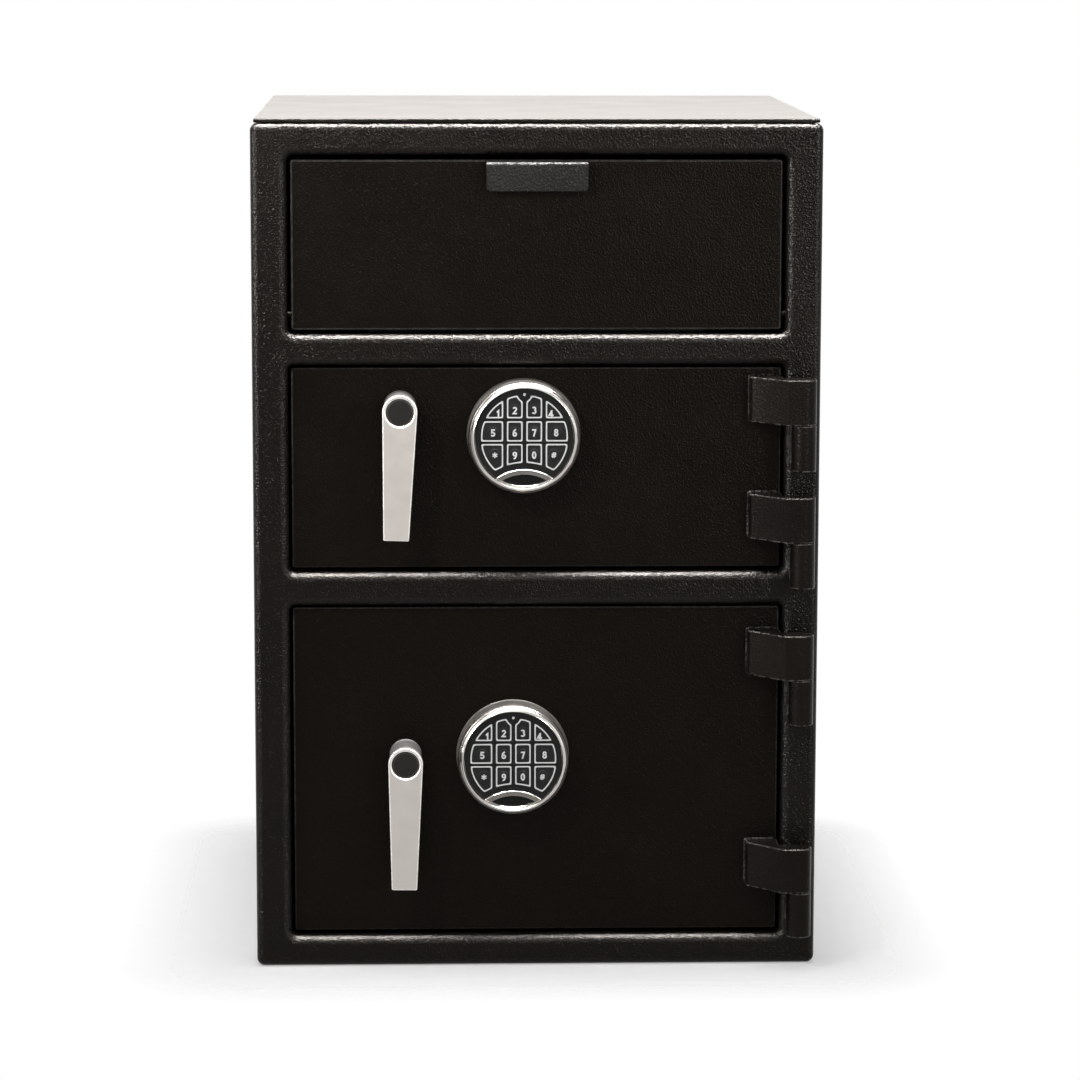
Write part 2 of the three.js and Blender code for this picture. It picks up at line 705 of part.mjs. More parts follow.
// Carriage: a plate with the cam's upright slot and two guide slots, and the bolts on its edge.
function boltCarriage(door) {
  const { height, layout } = door;
  const right = layout.keypadX - lockWidth / 2 - lockBoltProud - lockBoltGap;
  const handleZ = height - layout.handleDrop;
  const slotX = layout.handleX + boltThrow / 2;
  const slotRadius = camPinRadius + camSlotPlay;
  const highest = handleZ - camRadius * Math.cos((handleTurn / 2) * radians);
  const camSlot = slot(slotX, handleZ - camRadius, slotX, highest, slotRadius);
  const studX = layout.handleX + studOffset;
  const studSlots = studHeights(door).map((z) =>
    slot(studX, z, studX + boltThrow, z, studRadius + camSlotPlay));
  const plate = prism('XZ', roundedRectangle(carriageLeft, right, carriageMargin, height - carriageMargin,
    carriageCorner), carriageFront, carriageFront + carriageThickness,
  { holes: [camSlot, ...studSlots] });
  const bolts = boltHeights(door).map((z) => {
    const rod = rodX(boltRadius, boltTip + boltChamfer, carriageLeft + carriageWeldLap, boltY, z,
      facets.bolt);
    const nose = new THREE.CylinderGeometry(boltRadius, boltRadius - boltChamfer, boltChamfer, facets.bolt);
    nose.rotateZ(-Math.PI / 2);
    nose.rotateX(Math.PI / 2);
    nose.translate(boltTip + boltChamfer / 2, boltY, z);
    return joined(rod, solidOf(nose));
  });
  return joined(plate, bolts);
}

const lockCorners = [[-1, -1], [-1, 1], [1, -1], [1, 1]];

function lockCase() {
  const near = doorThickness + seam;
  const halfW = lockWidth / 2;
  const halfH = lockHeight / 2;
  const outline = roundedRectangle(-halfW, halfW, -halfH, halfH, lockCorner, 2);
  const body = prism('XZ', outline, near, near + lockDepth);
  const pocket = block(-halfW - overcut, -halfW + lockPocket, boltY - lockBoltThickness / 2 - boreClearance,
    boltY + lockBoltThickness / 2 + boreClearance, -lockBoltHeight / 2 - boreClearance,
    lockBoltHeight / 2 + boreClearance);
  const screws = lockCorners.map(([sx, sz]) => rodY(lockScrewRadius, near + lockDepth - overcut,
    near + lockDepth + lockScrewHead, sx * (halfW - lockScrewInset), sz * (halfH - lockScrewInset), 8));
  return joined(cutBy(body, pocket), screws);
}

function lockBolt() {
  const tip = -lockWidth / 2 - lockBoltProud;
  return prism('XZ', roundedRectangle(tip, tip + lockBoltLength, -lockBoltHeight / 2, lockBoltHeight / 2,
    lockBoltCorner, 1), boltY - lockBoltThickness / 2, boltY + lockBoltThickness / 2);
}

// The disc below the key panel: its upper edge is the cusp line, its middle holds the bare badge.
const cuspDisc = (grow, y0, y1) => rodY(cuspRadius + grow, y0, y1, 0, -cuspRise - cuspRadius, facets.field);

const panelSeat = panelFront - panelThickness - seam;

// Keypad housing: a turned body with a polished rim, cut out for the key panel.
function keypadHousing() {
  const body = revolve([
    [0, seam], [keypadRadius, seam], [keypadRadius, keypadBase],
    [keypadFrontRadius, keypadDepth - bezelHeight], [bezelShoulderRadius, keypadDepth - bezelInnerDrop],
    [bezelCrestRadius, keypadDepth],
    [bezelInnerRadius, keypadDepth - bezelInnerDrop], [0, keypadDepth - bezelInnerDrop],
  ], facets.keypad);
  const front = -keypadDepth - overcut;
  const recess = cutBy(rodY(bezelInnerRadius, front, -panelSeat, 0, 0, facets.keypad),
    cuspDisc(0, front - overcut, -panelSeat + overcut));
  const lens = (badgeWidth ** 2 + badgeHeight ** 2) / (4 * badgeHeight);
  const offset = lens - badgeHeight / 2;
  const sweep = Math.asin(badgeWidth / 2 / lens) / radians;
  const badge = prism('XZ', [
    ...arc(0, -badgeCentre - offset, lens, 90 - sweep, 90 + sweep, 8).slice(0, -1),
    ...arc(0, -badgeCentre + offset, lens, 270 - sweep, 270 + sweep, 8).slice(0, -1),
  ], front, -(keypadDepth - bezelInnerDrop - badgeRecess));
  return cutBy(body, recess, badge);
}

const keyColumns = [
  [-keyFieldRadius, -keyGap * 1.5 - keyColumnWidth],
  [-keyGap / 2 - keyColumnWidth, -keyGap / 2],
  [keyGap / 2, keyGap / 2 + keyColumnWidth],
  [keyGap * 1.5 + keyColumnWidth, keyFieldRadius],
];
const keyRows = [
  [keyRowTop, keyFieldRadius],
  [keyMiddleBottom, keyMiddleTop],
  [-keyFieldRadius, keyFootTop],
];
const keyNames = [['1', '2', '3', '4'], ['5', '6', '7', '8'], ['star', '9', '0', 'hash']];

// One cell of the key field: a rectangle trimmed by the round field, the curved foot and the notch.
function keyCell(row, column, inset, ahead0, ahead1) {
  const [x0, x1] = keyColumns[column];
  const [z0, z1] = keyRows[row];
  const [y0, y1] = [-ahead1, -ahead0];
  const cell = block(x0 + inset, x1 - inset, y0, y1, z0 + inset, z1 - inset);
  const field = rodY(keyFieldRadius - inset, y0 - overcut, y1 + overcut, 0, 0, facets.field);
  const foot = rodY(keyFootRadius + inset, y0 - overcut, y1 + overcut, 0, -cuspRise - cuspRadius,
    facets.field);
  const notch = rodY(keyNotchRadius + inset, y0 - overcut, y1 + overcut, 0, keyNotchCentre, facets.bore);
  return cutBy(cell.intersect(field), foot, notch);
}

const keyFront = panelFront + keyProud;
const keyBack = keyFront - keyThickness;
const pocketFloor = keyBack - keyTravel - seam;

function keypadPanel() {
  const back = -(panelSeat + seam);
  const disc = cutBy(rodY(bezelInnerRadius - seam, -panelFront, back, 0, 0, facets.keypad),
    cuspDisc(seam, -panelFront - overcut, back + overcut));
  const pockets = keyRows.flatMap((_, row) =>
    keyColumns.map((__, column) => keyCell(row, column, 0, pocketFloor, panelFront + overcut)));
  const lamp = rodY(lampRadius, -panelFront - overcut, -panelFront + overcut, 0, keyNotchCentre, 8);
  return cutBy(disc, pockets, lamp);
}

function addDoor(door) {
  const { name, layout, height, bottom } = door;
  const group = new THREE.Group();
  group.position.set(0, faceY, bottom);
  const handleAt = [layout.handleX, 0, height - layout.handleDrop];
  const keypadAt = [layout.keypadX, 0, height - layout.keypadDrop];
  add(group, `${name}_door_plate`, doorPlate(door), finish.door());
  Object.entries(hingeJunctions(door)).forEach(([place, z]) => {
    add(group, `${name}_${place}_hinge_strap`, hingeStrap(), finish.hinge(), [0, 0, z + seam]);
    add(group, `${name}_${place}_hinge_post`, hingePost(), finish.hinge(), [0, 0, z]);
  });
  add(group, `${name}_handle_hub`, handleHub(), finish.hub(), handleAt);
  add(group, `${name}_handle_lever`, handleLever(), finish.lever(), handleAt, layout.leverLean * radians);
  add(group, `${name}_handle_spindle`, handleSpindle(), finish.cap(), handleAt);
  add(group, `${name}_bolt_carriage`, boltCarriage(door), finish.steel());
  add(group, `${name}_lock_case`, lockCase(), finish.lock(), keypadAt);
  add(group, `${name}_lock_bolt`, lockBolt(), finish.steel(), keypadAt);
  add(group, `${name}_keypad_housing`, keypadHousing(), finish.chrome(), keypadAt);
  add(group, `${name}_keypad_panel`, keypadPanel(), finish.panel(), keypadAt);
  keyNames.forEach((names, row) => names.forEach((label, column) => {
    const key = keyCell(row, column, boreClearance, keyBack, keyFront);
    add(group, `${name}_key_${label}`, key, finish.key(), keypadAt);
  }));
  part.add(group);
}

add(part, 'cabinet_shell', cabinetShell(), finish.frame());
add(part, 'front_frame', frontFrame(), finish.frame());
add(part, 'top_plate', topPlate(), finish.frame());
add(part, 'back_plate', backPlate(), finish.frame());
add(part, 'compartment_shelf', compartmentShelf(), finish.frame());
add(part, 'anti_fish_baffle', antiFishBaffle(), finish.frame());
add(part, 'hopper_stop', hopperStop(), finish.frame());
add(part, 'hopper_face', hopperFace(), finish.door());
add(part, 'hopper_pull', hopperPull(), finish.door());
add(part, 'hopper_bucket', hopperBucket(), finish.door());
doorGroups.forEach(addDoor);

export default part;
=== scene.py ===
"""Looks of a drop safe with a tilting deposit hopper above two keypad doors.

Sizes are in millimetres in the part's frame: +X right, +Y into the safe, +Z up, with the
origin in the middle of the base. Points become metres when a mesh is made.
"""

import logging
import math
from dataclasses import dataclass, field, replace
from enum import Enum
from functools import cache

import bmesh
import bpy
import numpy as np
from mathutils import Matrix, Vector
from mathutils.geometry import tessellate_polygon


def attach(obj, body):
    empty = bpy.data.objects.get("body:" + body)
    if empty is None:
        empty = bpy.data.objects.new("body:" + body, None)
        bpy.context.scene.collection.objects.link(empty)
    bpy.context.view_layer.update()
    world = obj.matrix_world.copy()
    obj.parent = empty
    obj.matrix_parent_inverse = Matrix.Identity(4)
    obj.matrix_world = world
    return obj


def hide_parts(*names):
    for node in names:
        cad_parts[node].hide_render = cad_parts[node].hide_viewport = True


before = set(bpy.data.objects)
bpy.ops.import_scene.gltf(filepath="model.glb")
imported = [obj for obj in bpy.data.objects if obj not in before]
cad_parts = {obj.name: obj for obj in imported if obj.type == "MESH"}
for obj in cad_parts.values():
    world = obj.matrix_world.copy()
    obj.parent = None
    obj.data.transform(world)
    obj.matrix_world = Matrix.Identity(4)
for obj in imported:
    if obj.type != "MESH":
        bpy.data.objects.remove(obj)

log = logging.getLogger("safe")

MM = 0.001

# Width of the rings beside an edge that keep flat faces flat in shading
HOLD = 0.5
# Edge mark above which a row of points counts as an edge, and the share of the edge's painted highlight and
# abrasion that is left on edges outside the highlight band
EDGE_MARK_LEVEL = 0.5
OUTSIDE_BAND_SHARE = 0.3
# Band along a plate's upper or lower border whose edge keeps its full painted highlight
HIGHLIGHT_BAND = 3.0
HALF_CIRCLE_STEPS = 16
SMALLEST_AREA = 1e-9
# Angles in degrees above which a bevel softens an edge, and above which shading keeps it sharp
BEVEL_ANGLE = 50.0
SHARP_ANGLE = 35.0
PRINT_DEPTH = 0.3
PRINT_TONE = 1
POWDER = (0.42, 0.40, 0.37)


class Plane(Enum):
    """Drawing plane of an outline: the world axes of its u, its v and its height."""

    XY = (0, 1, 2)
    XZ = (0, 2, 1)
    YZ = (1, 2, 0)


# Outlines and surfaces


@dataclass
class Shape:
    """Points in millimetres, blocks of equally long faces with a finish number each, and an edge mark from
    which finishes paint highlight and abrasion.
    """

    points: np.ndarray
    faces: list[np.ndarray]
    tones: list[int]
    wear_and_highlight: np.ndarray


@dataclass
class Wall:
    """A tube of outlines: rings is (rows, points, 2), with a height and an edge mark for painted highlight
    and abrasion for each row.

    A hole faces inwards. A blind one opens at the first end only, and has a floor of its own.
    """

    rings: np.ndarray
    heights: np.ndarray
    wear_and_highlight: np.ndarray
    hole: bool = False
    blind: bool = False
    edge_tone: int = 0
    floor_tone: int = 0


def arc(u: float, v: float, radius: float, start: float, stop: float, steps: int) -> np.ndarray:
    """Points (u, v) + radius * (cos, sin), in even steps from start to stop in degrees, both included."""
    turn = np.radians(np.linspace(start, stop, steps + 1))
    return np.column_stack([u + radius * np.cos(turn), v + radius * np.sin(turn)])


def circle(u: float, v: float, radius: float, steps: int = 48) -> np.ndarray:
    """The given number of points of a whole circle about (u, v), counter-clockwise."""
    return arc(u, v, radius, 0, 360, steps)[:-1]


def rectangle(u0: float, u1: float, v0: float, v1: float, radius: float, steps: int = 6) -> np.ndarray:
    """A rectangle with rounded corners, counter-clockwise: four quarter arcs, one after the other.

    Args:
        u0: lowest first coordinate.
        u1: highest first coordinate.
        v0: lowest second coordinate.
        v1: highest second coordinate.
        radius: corner radius.
        steps: steps in each corner.

    Returns:
        The points.
    """
    return np.vstack([
        arc(u1 - radius, v1 - radius, radius, 0, 90, steps),
        arc(u0 + radius, v1 - radius, radius, 90, 180, steps),
        arc(u0 + radius, v0 + radius, radius, 180, 270, steps),
        arc(u1 - radius, v0 + radius, radius, 270, 360, steps),
    ])


def slot(u0: float, v0: float, u1: float, v1: float, radius: float) -> np.ndarray:
    """A slot: two half circles about its end centres, turned to the line between them.

    Args:
        u0: first coordinate of one end centre.
        v0: second coordinate of that centre.
        u1: first coordinate of the other end centre.
        v1: second coordinate of that centre.
        radius: half the slot's width.

    Returns:
        The points, counter-clockwise.
    """
    heading = math.degrees(math.atan2(v1 - v0, u1 - u0))
    return np.vstack([
        arc(u1, v1, radius, heading - 90, heading + 90, HALF_CIRCLE_STEPS),
        arc(u0, v0, radius, heading + 90, heading + 270, HALF_CIRCLE_STEPS),
    ])


def inset(outline: np.ndarray, distance: float) -> np.ndarray:
    """Moves each point along the sum s of its two inward edge normals, by 2 * distance * s / |s|^2.

    Args:
        outline: counter-clockwise points.
        distance: how far every edge moves inwards.

    Returns:
        The moved points.
    """
    before = outline - np.roll(outline, 1, axis=0)
    before = before / np.linalg.norm(before, axis=1, keepdims=True)
    normal = np.column_stack([-before[:, 1], before[:, 0]])
    total = normal + np.roll(normal, -1, axis=0)
    return outline + 2 * distance * total / (total**2).sum(1, keepdims=True)


def edge_rows(low: float, high: float, edge: float, steps: int = 3, hold: float = HOLD) -> np.ndarray:
    """Rows [inset, height, wear] of a block whose two edges are quarter rounds.

    Args:
        low: height of the first end.
        high: height of the last end.
        edge: radius of both edges.
        steps: steps in each quarter round.
        hold: width of the rings that keep the flat faces flat in shading.

    Returns:
        The rows, from the first end's flat face to the last end's.
    """
    turn = np.radians(np.linspace(0, 90, steps + 1))
    drop, rise = edge * (1 - np.sin(turn)), edge * (1 - np.cos(turn))
    first = np.column_stack([drop, low + rise, np.ones_like(turn)])
    last = np.column_stack([drop, high - rise, np.ones_like(turn)])[::-1]
    rows = [[[edge + hold, low, 0]], first]
    if high - low > 2 * (edge + hold):
        rows.append([[0, low + edge + hold, 0], [0, high - edge - hold, 0]])
    return np.vstack([*rows, last, [[edge + hold, high, 0]]])


def wall(outline: np.ndarray, rows: np.ndarray, hole: bool = False, blind: bool = False,
         edge_tone: int = 0) -> Wall:
    """An outline carried through rows [inset, height, wear].

    Args:
        outline: counter-clockwise points.
        rows: one line for each ring.
        hole: whether the insets widen it and its faces look inwards.
        blind: whether the hole has a floor.
        edge_tone: finish number of the rounded edges.

    Returns:
        The wall.
    """
    sign = -1 if hole else 1
    rings = np.stack([inset(outline, sign * step) for step in rows[:, 0]])
    return Wall(rings, rows[:, 1], rows[:, 2], hole, blind, edge_tone)


def band(rows: int, count: int, around: bool = True, closed: bool = False) -> np.ndarray:
    """Quads between neighbouring rows of a point grid.

    Args:
        rows: number of rows.
        count: points in each row.
        around: whether the last point of a row joins its first.
        closed: whether the last row joins the first.

    Returns:
        Point numbers, as (row gaps, quads, 4).
    """
    row = np.arange(rows if closed else rows - 1)[:, None]
    column = np.arange(count if around else count - 1)[None, :]
    beside, above = (column + 1) % count, (row + 1) % rows
    return np.stack([row * count + column, row * count + beside,
                     above * count + beside, above * count + column], axis=-1)


def placed(flat: np.ndarray, height: np.ndarray, plane: Plane) -> np.ndarray:
    """Points of a drawing plane put in space.

    Args:
        flat: (points, 2) in the plane.
        height: height of each point over it.
        plane: the plane.

    Returns:
        (points, 3).
    """
    out = np.empty((len(flat), 3))
    out[:, list(plane.value)] = np.column_stack([flat, np.broadcast_to(height, len(flat))])
    return out


def fill(numbers: list[np.ndarray], rings: list[np.ndarray], down: bool) -> np.ndarray:
    """Flat faces that close one outline, or the area between an outline and its holes.

    Args:
        numbers: point numbers of each ring.
        rings: the rings' points in the plane.
        down: whether the faces look against the height.

    Returns:
        Point numbers of the faces.
    """
    if len(rings) == 1:
        faces = numbers[0][None, :]
    else:
        corners = np.vstack(rings)
        faces = np.array(tessellate_polygon([ring.tolist() for ring in rings]))
        a, b, c = corners[faces].transpose(1, 0, 2)
        area = (b - a)[:, 0] * (c - a)[:, 1] - (b - a)[:, 1] * (c - a)[:, 0]
        faces = np.where((area < 0)[:, None], faces[:, ::-1], faces)[np.abs(area) > SMALLEST_AREA]
        faces = np.concatenate(numbers)[faces]
    return faces[:, ::-1] if down else faces


def outward(shape: Shape) -> Shape:
    """Turns all faces round where the sum of their fan volumes about the middle is negative.

    Args:
        shape: a shape whose faces all look the same way.

    Returns:
        The shape with its faces looking out.
    """
    middle = (shape.points.min(0) + shape.points.max(0)) / 2
    points = shape.points - middle
    volume = 0.0
    for block in shape.faces:
        corners = points[block]
        for k in range(1, block.shape[1] - 1):
            volume += np.einsum("ij,ij->", corners[:, 0], np.cross(corners[:, k], corners[:, k + 1]))
    if volume < 0:
        shape.faces = [block[:, ::-1] for block in shape.faces]
    return shape


def facing(shape: Shape, way: tuple[float, float, float]) -> Shape:
    """Turns all faces round where those of the last block don't look the given way.

    Args:
        shape: an open shape whose faces all look the same way, and whose last block is flat.
        way: where that block should look.

    Returns:
        The shape, seen from outside.
    """
    a, b, c = shape.points[shape.faces[-1][0, :3]]
    if np.dot(np.cross(b - a, c - a), way) < 0:
        shape.faces = [block[:, ::-1] for block in shape.faces]
    return shape


def dimmed_outside_band(shape: Shape, in_band: np.ndarray) -> Shape:
    """The shape, with less painted edge highlight and abrasion where the given mask is false."""
    return replace(shape, wear_and_highlight=shape.wear_and_highlight * np.where(in_band, 1.0, OUTSIDE_BAND_SHARE))


def built(walls: list[Wall], plane: Plane, ends: tuple[bool, bool] = (True, True), tone: int = 0) -> Shape:
    """Joins walls into one surface: quads along each wall, and flat faces between them at the ends.

    Args:
        walls: the outer wall, then the holes.
        plane: the drawing plane.
        ends: whether the first and the last end are closed.
        tone: finish number of all but the edges and the blind floors.

    Returns:
        The shape.
    """
    points, wear_and_highlight, faces, tones, starts = [], [], [], [], []
    total = 0
    for each in walls:
        rows, count = each.rings.shape[:2]
        quads = band(rows, count) + total
        faces.extend(quads[..., ::-1] if each.hole else quads)
        worn_and_lit = (each.wear_and_highlight[1:] > EDGE_MARK_LEVEL) & (each.wear_and_highlight[:-1] > EDGE_MARK_LEVEL)
        tones.extend(np.where(worn_and_lit, each.edge_tone or tone, tone).tolist())
        flat = each.rings.reshape(-1, 2)
        points.append(placed(flat, np.repeat(each.heights, count), plane))
        wear_and_highlight.append(np.repeat(each.wear_and_highlight, count))
        starts.append(total)
        if each.blind:
            faces.append(fill([total + (rows - 1) * count + np.arange(count)], [each.rings[-1]], True))
            tones.append(each.floor_tone or tone)
        total += rows * count
    for last in (False, True):
        if not ends[last]:
            continue
        open_walls = [(each, start) for each, start in zip(walls, starts) if not (last and each.blind)]
        row = -1 if last else 0
        numbers = [start + (each.rings.shape[1] * (len(each.rings) - 1) if last else 0)
                   + np.arange(each.rings.shape[1]) for each, start in open_walls]
        faces.append(fill(numbers, [each.rings[row] for each, _ in open_walls], not last))
        tones.append(tone)
    return outward(Shape(np.vstack(points), faces, tones, np.concatenate(wear_and_highlight)))


def slab(outline: np.ndarray, low: float, high: float, plane: Plane, edge: float = 0.4,
         steps: int = 3, holes: tuple[np.ndarray, ...] = (), tone: int = 0, edge_tone: int = 0) -> Shape:
    """A block with rounded edges, pierced by holes with rounded edges.

    Args:
        outline: counter-clockwise points.
        low: height of its first face.
        high: height of its last face.
        plane: the drawing plane.
        edge: radius of the edges.
        steps: steps in each rounded edge.
        holes: counter-clockwise outlines of through holes.
        tone: finish number.
        edge_tone: finish number of the rounded edges.

    Returns:
        The shape.
    """
    rows = edge_rows(low, high, edge, steps)
    walls = [wall(outline, rows, edge_tone=edge_tone)]
    walls += [wall(hole, rows, hole=True, edge_tone=edge_tone) for hole in holes]
    return built(walls, plane, tone=tone)


def lathe(profile: list[tuple], centre: tuple[float, float], plane: Plane, steps: int = 64,
          closed: bool = False, tones: list[int] | None = None) -> Shape:
    """A profile of [radius, height, wear] turned about an axis that stands on the plane.

    Args:
        profile: the rows; an open profile is closed by a flat face at each end.
        centre: the axis in the plane.
        plane: the drawing plane.
        steps: points in each ring.
        closed: whether the profile is a closed loop, as for a ring.
        tones: finish number of each row gap.

    Returns:
        The shape.
    """
    rows = np.array([(*row, 0)[:3] for row in profile], float)
    unit = circle(0, 0, 1, steps)
    flat = (np.array(centre) + rows[:, 0, None, None] * unit).reshape(-1, 2)
    points = placed(flat, np.repeat(rows[:, 1], steps), plane)
    faces = list(band(len(rows), steps, closed=closed))
    marks = list(tones) if tones else [0] * len(faces)
    if not closed:
        last = (len(rows) - 1) * steps
        faces += [np.arange(steps)[None, ::-1], last + np.arange(steps)[None, :]]
        marks += [marks[0], marks[-1]]
    return outward(Shape(points, faces, marks, np.repeat(rows[:, 2], steps)))


def rod(radius: float, low: float, high: float, centre: tuple[float, float], plane: Plane,
        chamfer: float = 0.5, steps: int = 48, tone: int = 0) -> Shape:
    """A round bar with a chamfer at each end.

    Args:
        radius: radius of the bar.
        low: height of its first end.
        high: height of its last end.
        centre: its axis in the plane.
        plane: the drawing plane.
        chamfer: size of the chamfers.
        steps: points round it.
        tone: finish number.

    Returns:
        The shape.
    """
    hold = 0.3
    profile = [(radius - chamfer - hold, low, 0), (radius - chamfer, low, 1), (radius, low + chamfer, 1),
               (radius, low + chamfer + hold, 0), (radius, high - chamfer - hold, 0),
               (radius, high - chamfer, 1), (radius - chamfer, high, 1), (radius - chamfer - hold, high, 0)]
    return lathe(profile, centre, plane, steps, tones=[tone] * (len(profile) - 1))


def bead(path: np.ndarray, radius: float, out: tuple[float, float, float], pitch: float = 2.6) -> Shape:
    """A weld bead: a tube along a path, whose radius swells by the sine of the way along it.

    Args:
        path: corners of the path in space.
        radius: mean radius of the tube.
        out: direction that looks away from the metal.
        pitch: length of one ripple.

    Returns:
        The shape.
    """
    leg = np.linalg.norm(np.diff(path, axis=0), axis=1)
    way = np.concatenate([[0], np.cumsum(leg)])
    s = np.linspace(0, way[-1], max(int(way[-1] / pitch * 5), 8))
    line = np.column_stack([np.interp(s, way, path[:, k]) for k in range(3)])
    tangent = np.gradient(line, axis=0)
    tangent /= np.linalg.norm(tangent, axis=1, keepdims=True)
    up = np.array(out, float) / np.linalg.norm(out)
    side = np.cross(tangent, up)
    side /= np.linalg.norm(side, axis=1, keepdims=True)
    taper = np.clip(np.minimum(s, way[-1] - s) / (1.5 * radius), 0.05, 1) ** 0.5
    swell = radius * taper * (0.88 + 0.12 * np.abs(np.sin(np.pi * s / pitch)) + 0.05 * np.sin(1.7 * s))
    turn = np.radians(np.arange(0, 360, 36))[None, :, None]
    ring = line[:, None] + swell[:, None, None] * (np.cos(turn) * side[:, None] + np.sin(turn) * up)
    count = turn.shape[1]
    faces = list(band(len(s), count))
    faces += [np.arange(count)[None, ::-1], (len(s) - 1) * count + np.arange(count)[None, :]]
    # Every bead point carries a 0.4 edge mark, which paints the whole bead lighter: painted highlight on its
    # ripples, partly abrasion
    return outward(Shape(ring.reshape(-1, 3), faces, [0] * len(faces), np.full(len(s) * count, 0.4)))


def joined(*shapes: Shape) -> Shape:
    """Several shapes as one, each with its own surface.

    Args:
        shapes: the shapes.

    Returns:
        The shape that holds them all.
    """
    starts = np.cumsum([0] + [len(shape.points) for shape in shapes])
    return Shape(np.vstack([shape.points for shape in shapes]),
                 [block + start for shape, start in zip(shapes, starts) for block in shape.faces],
                 [tone for shape in shapes for tone in shape.tones],
                 np.concatenate([shape.wear_and_highlight for shape in shapes]))


def moved(shape: Shape, x: float = 0.0, y: float = 0.0, z: float = 0.0) -> Shape:
    """The shape, moved by x, y and z."""
    return replace(shape, points=shape.points + np.array([x, y, z]))


def leaned(shape: Shape, degrees: float, x: float, z: float) -> Shape:
    """Turns a shape about an axis along Y.

    Args:
        shape: the shape.
        degrees: how far its lower end goes towards -X.
        x: place of the axis.
        z: height of the axis.

    Returns:
        The turned shape.
    """
    c, s = math.cos(math.radians(degrees)), math.sin(math.radians(degrees))
    points = shape.points - np.array([x, 0, z])
    turned = np.column_stack([points[:, 0] * c + points[:, 2] * s, points[:, 1],
                              points[:, 2] * c - points[:, 0] * s])
    return replace(shape, points=turned + np.array([x, 0, z]))


def curved(x: float, z: float, rx: float, rz: float, start: float, stop: float) -> np.ndarray:
    """Points of an elliptical arc, about every 12 degrees, from start to stop in degrees."""
    turn = np.radians(np.linspace(start, stop, max(int(abs(stop - start) / 12), 2) + 1))
    return np.column_stack([x + rx * np.cos(turn), z + rz * np.sin(turn)])


# Middle lines of the printed characters in a box one unit high, with their middle at (0, 0)
STROKES = {
    "0": [(curved(0, 0, 0.20, 0.40, 0, 348), True)],
    "1": [(np.array([[-0.19, 0.20], [0.04, 0.41], [0.04, -0.50]]), False)],
    "2": [(np.vstack([curved(0, 0.20, 0.20, 0.20, 165, -35), [[-0.20, -0.40], [0.30, -0.40]]]), False)],
    "3": [(curved(-0.02, 0.20, 0.19, 0.20, 155, -80), False),
          (curved(-0.02, -0.19, 0.22, 0.21, 80, -155), False)],
    "4": [(np.array([[0.08, 0.40], [-0.24, -0.18], [0.33, -0.18]]), False),
          (np.array([[0.09, 0.48], [0.09, -0.50]]), False)],
    "5": [(np.vstack([[[0.26, 0.40], [-0.13, 0.40], [-0.17, 0.03]],
                      curved(-0.02, -0.17, 0.22, 0.23, 115, -155)]), False)],
    "6": [(curved(0, -0.18, 0.20, 0.22, 0, 348), True), (curved(0.10, -0.16, 0.30, 0.58, 78, 172), False)],
    "7": [(np.array([[-0.28, 0.40], [0.19, 0.40], [-0.07, -0.50]]), False)],
    "8": [(curved(0, 0.21, 0.17, 0.19, 0, 348), True), (curved(0, -0.20, 0.20, 0.21, 0, 348), True)],
    "9": [(curved(0, 0.18, 0.20, 0.22, 0, 348), True), (curved(-0.10, 0.16, 0.30, 0.58, -102, -8), False)],
    "*": [(0.5 * np.array([[math.cos(a), math.sin(a)], [-math.cos(a), -math.sin(a)]]), False)
          for a in np.radians([90, 30, 150])],
    "#": [(np.array([[-0.06, 0.5], [-0.24, -0.5]]), False), (np.array([[0.24, 0.5], [0.06, -0.5]]), False),
          (np.array([[-0.40, 0.17], [0.44, 0.17]]), False),
          (np.array([[-0.44, -0.17], [0.40, -0.17]]), False)],
}


def lettering(text: str, height: float, x: float, z: float, front: float, weight: float) -> Shape:
    """A printed character: each of its middle lines widened to a flat stroke with a little depth.

    Args:
        text: the character.
        height: its height.
        x: its middle.
        z: its middle.
        front: y of its front.
        weight: width of the strokes as a share of the height.

    Returns:
        The shape.
    """
    pieces = []
    for number, (path, closed) in enumerate(STROKES[text]):
        y = np.array([front, front + PRINT_DEPTH]) + 0.01 * number
        if closed:
            walls = [Wall(np.stack([inset(path, side * weight / 2)] * 2) * height + (x, z), y, np.zeros(2),
                          hole=side > 0) for side in (-1, 1)]
        else:
            leg = np.diff(path, axis=0)
            leg /= np.linalg.norm(leg, axis=1, keepdims=True)
            across = np.column_stack([-leg[:, 1], leg[:, 0]])
            total = np.vstack([across, across[-1:]]) + np.vstack([across[:1], across])
            side = weight * total / (total**2).sum(1, keepdims=True)
            outline = np.vstack([path + side, (path - side)[::-1]])[::-1]
            walls = [Wall(np.stack([outline * height + (x, z)] * 2), y, np.zeros(2))]
        pieces.append(built(walls, Plane.XZ, tone=PRINT_TONE))
    return joined(*pieces)


# Objects


def added(name: str, data: bpy.types.ID) -> bpy.types.Object:
    """Makes an object of a mesh, lamp or camera and puts it in the scene.

    Args:
        name: name of the object.
        data: what it shows.

    Returns:
        The object.
    """
    made = bpy.data.objects.new(name, data)
    bpy.context.scene.collection.objects.link(made)
    return made


def softened(holder: bpy.types.Object, radius: float) -> None:
    """Adds a bevel that rounds an object's sharp edges.

    Args:
        holder: the object.
        radius: radius of the bevel.
    """
    bevel = holder.modifiers.new("soften", "BEVEL")
    bevel.width, bevel.segments, bevel.limit_method = radius * MM, 2, "ANGLE"
    bevel.angle_limit = math.radians(BEVEL_ANGLE)


def evaluated(holder: bpy.types.Object) -> None:
    """Replaces an object's mesh by what its modifiers make of it, and removes them.

    Args:
        holder: the object.
    """
    bpy.context.view_layer.update()
    graph = bpy.context.evaluated_depsgraph_get()
    mesh = bpy.data.meshes.new_from_object(holder.evaluated_get(graph))
    holder.modifiers.clear()
    holder.data = mesh


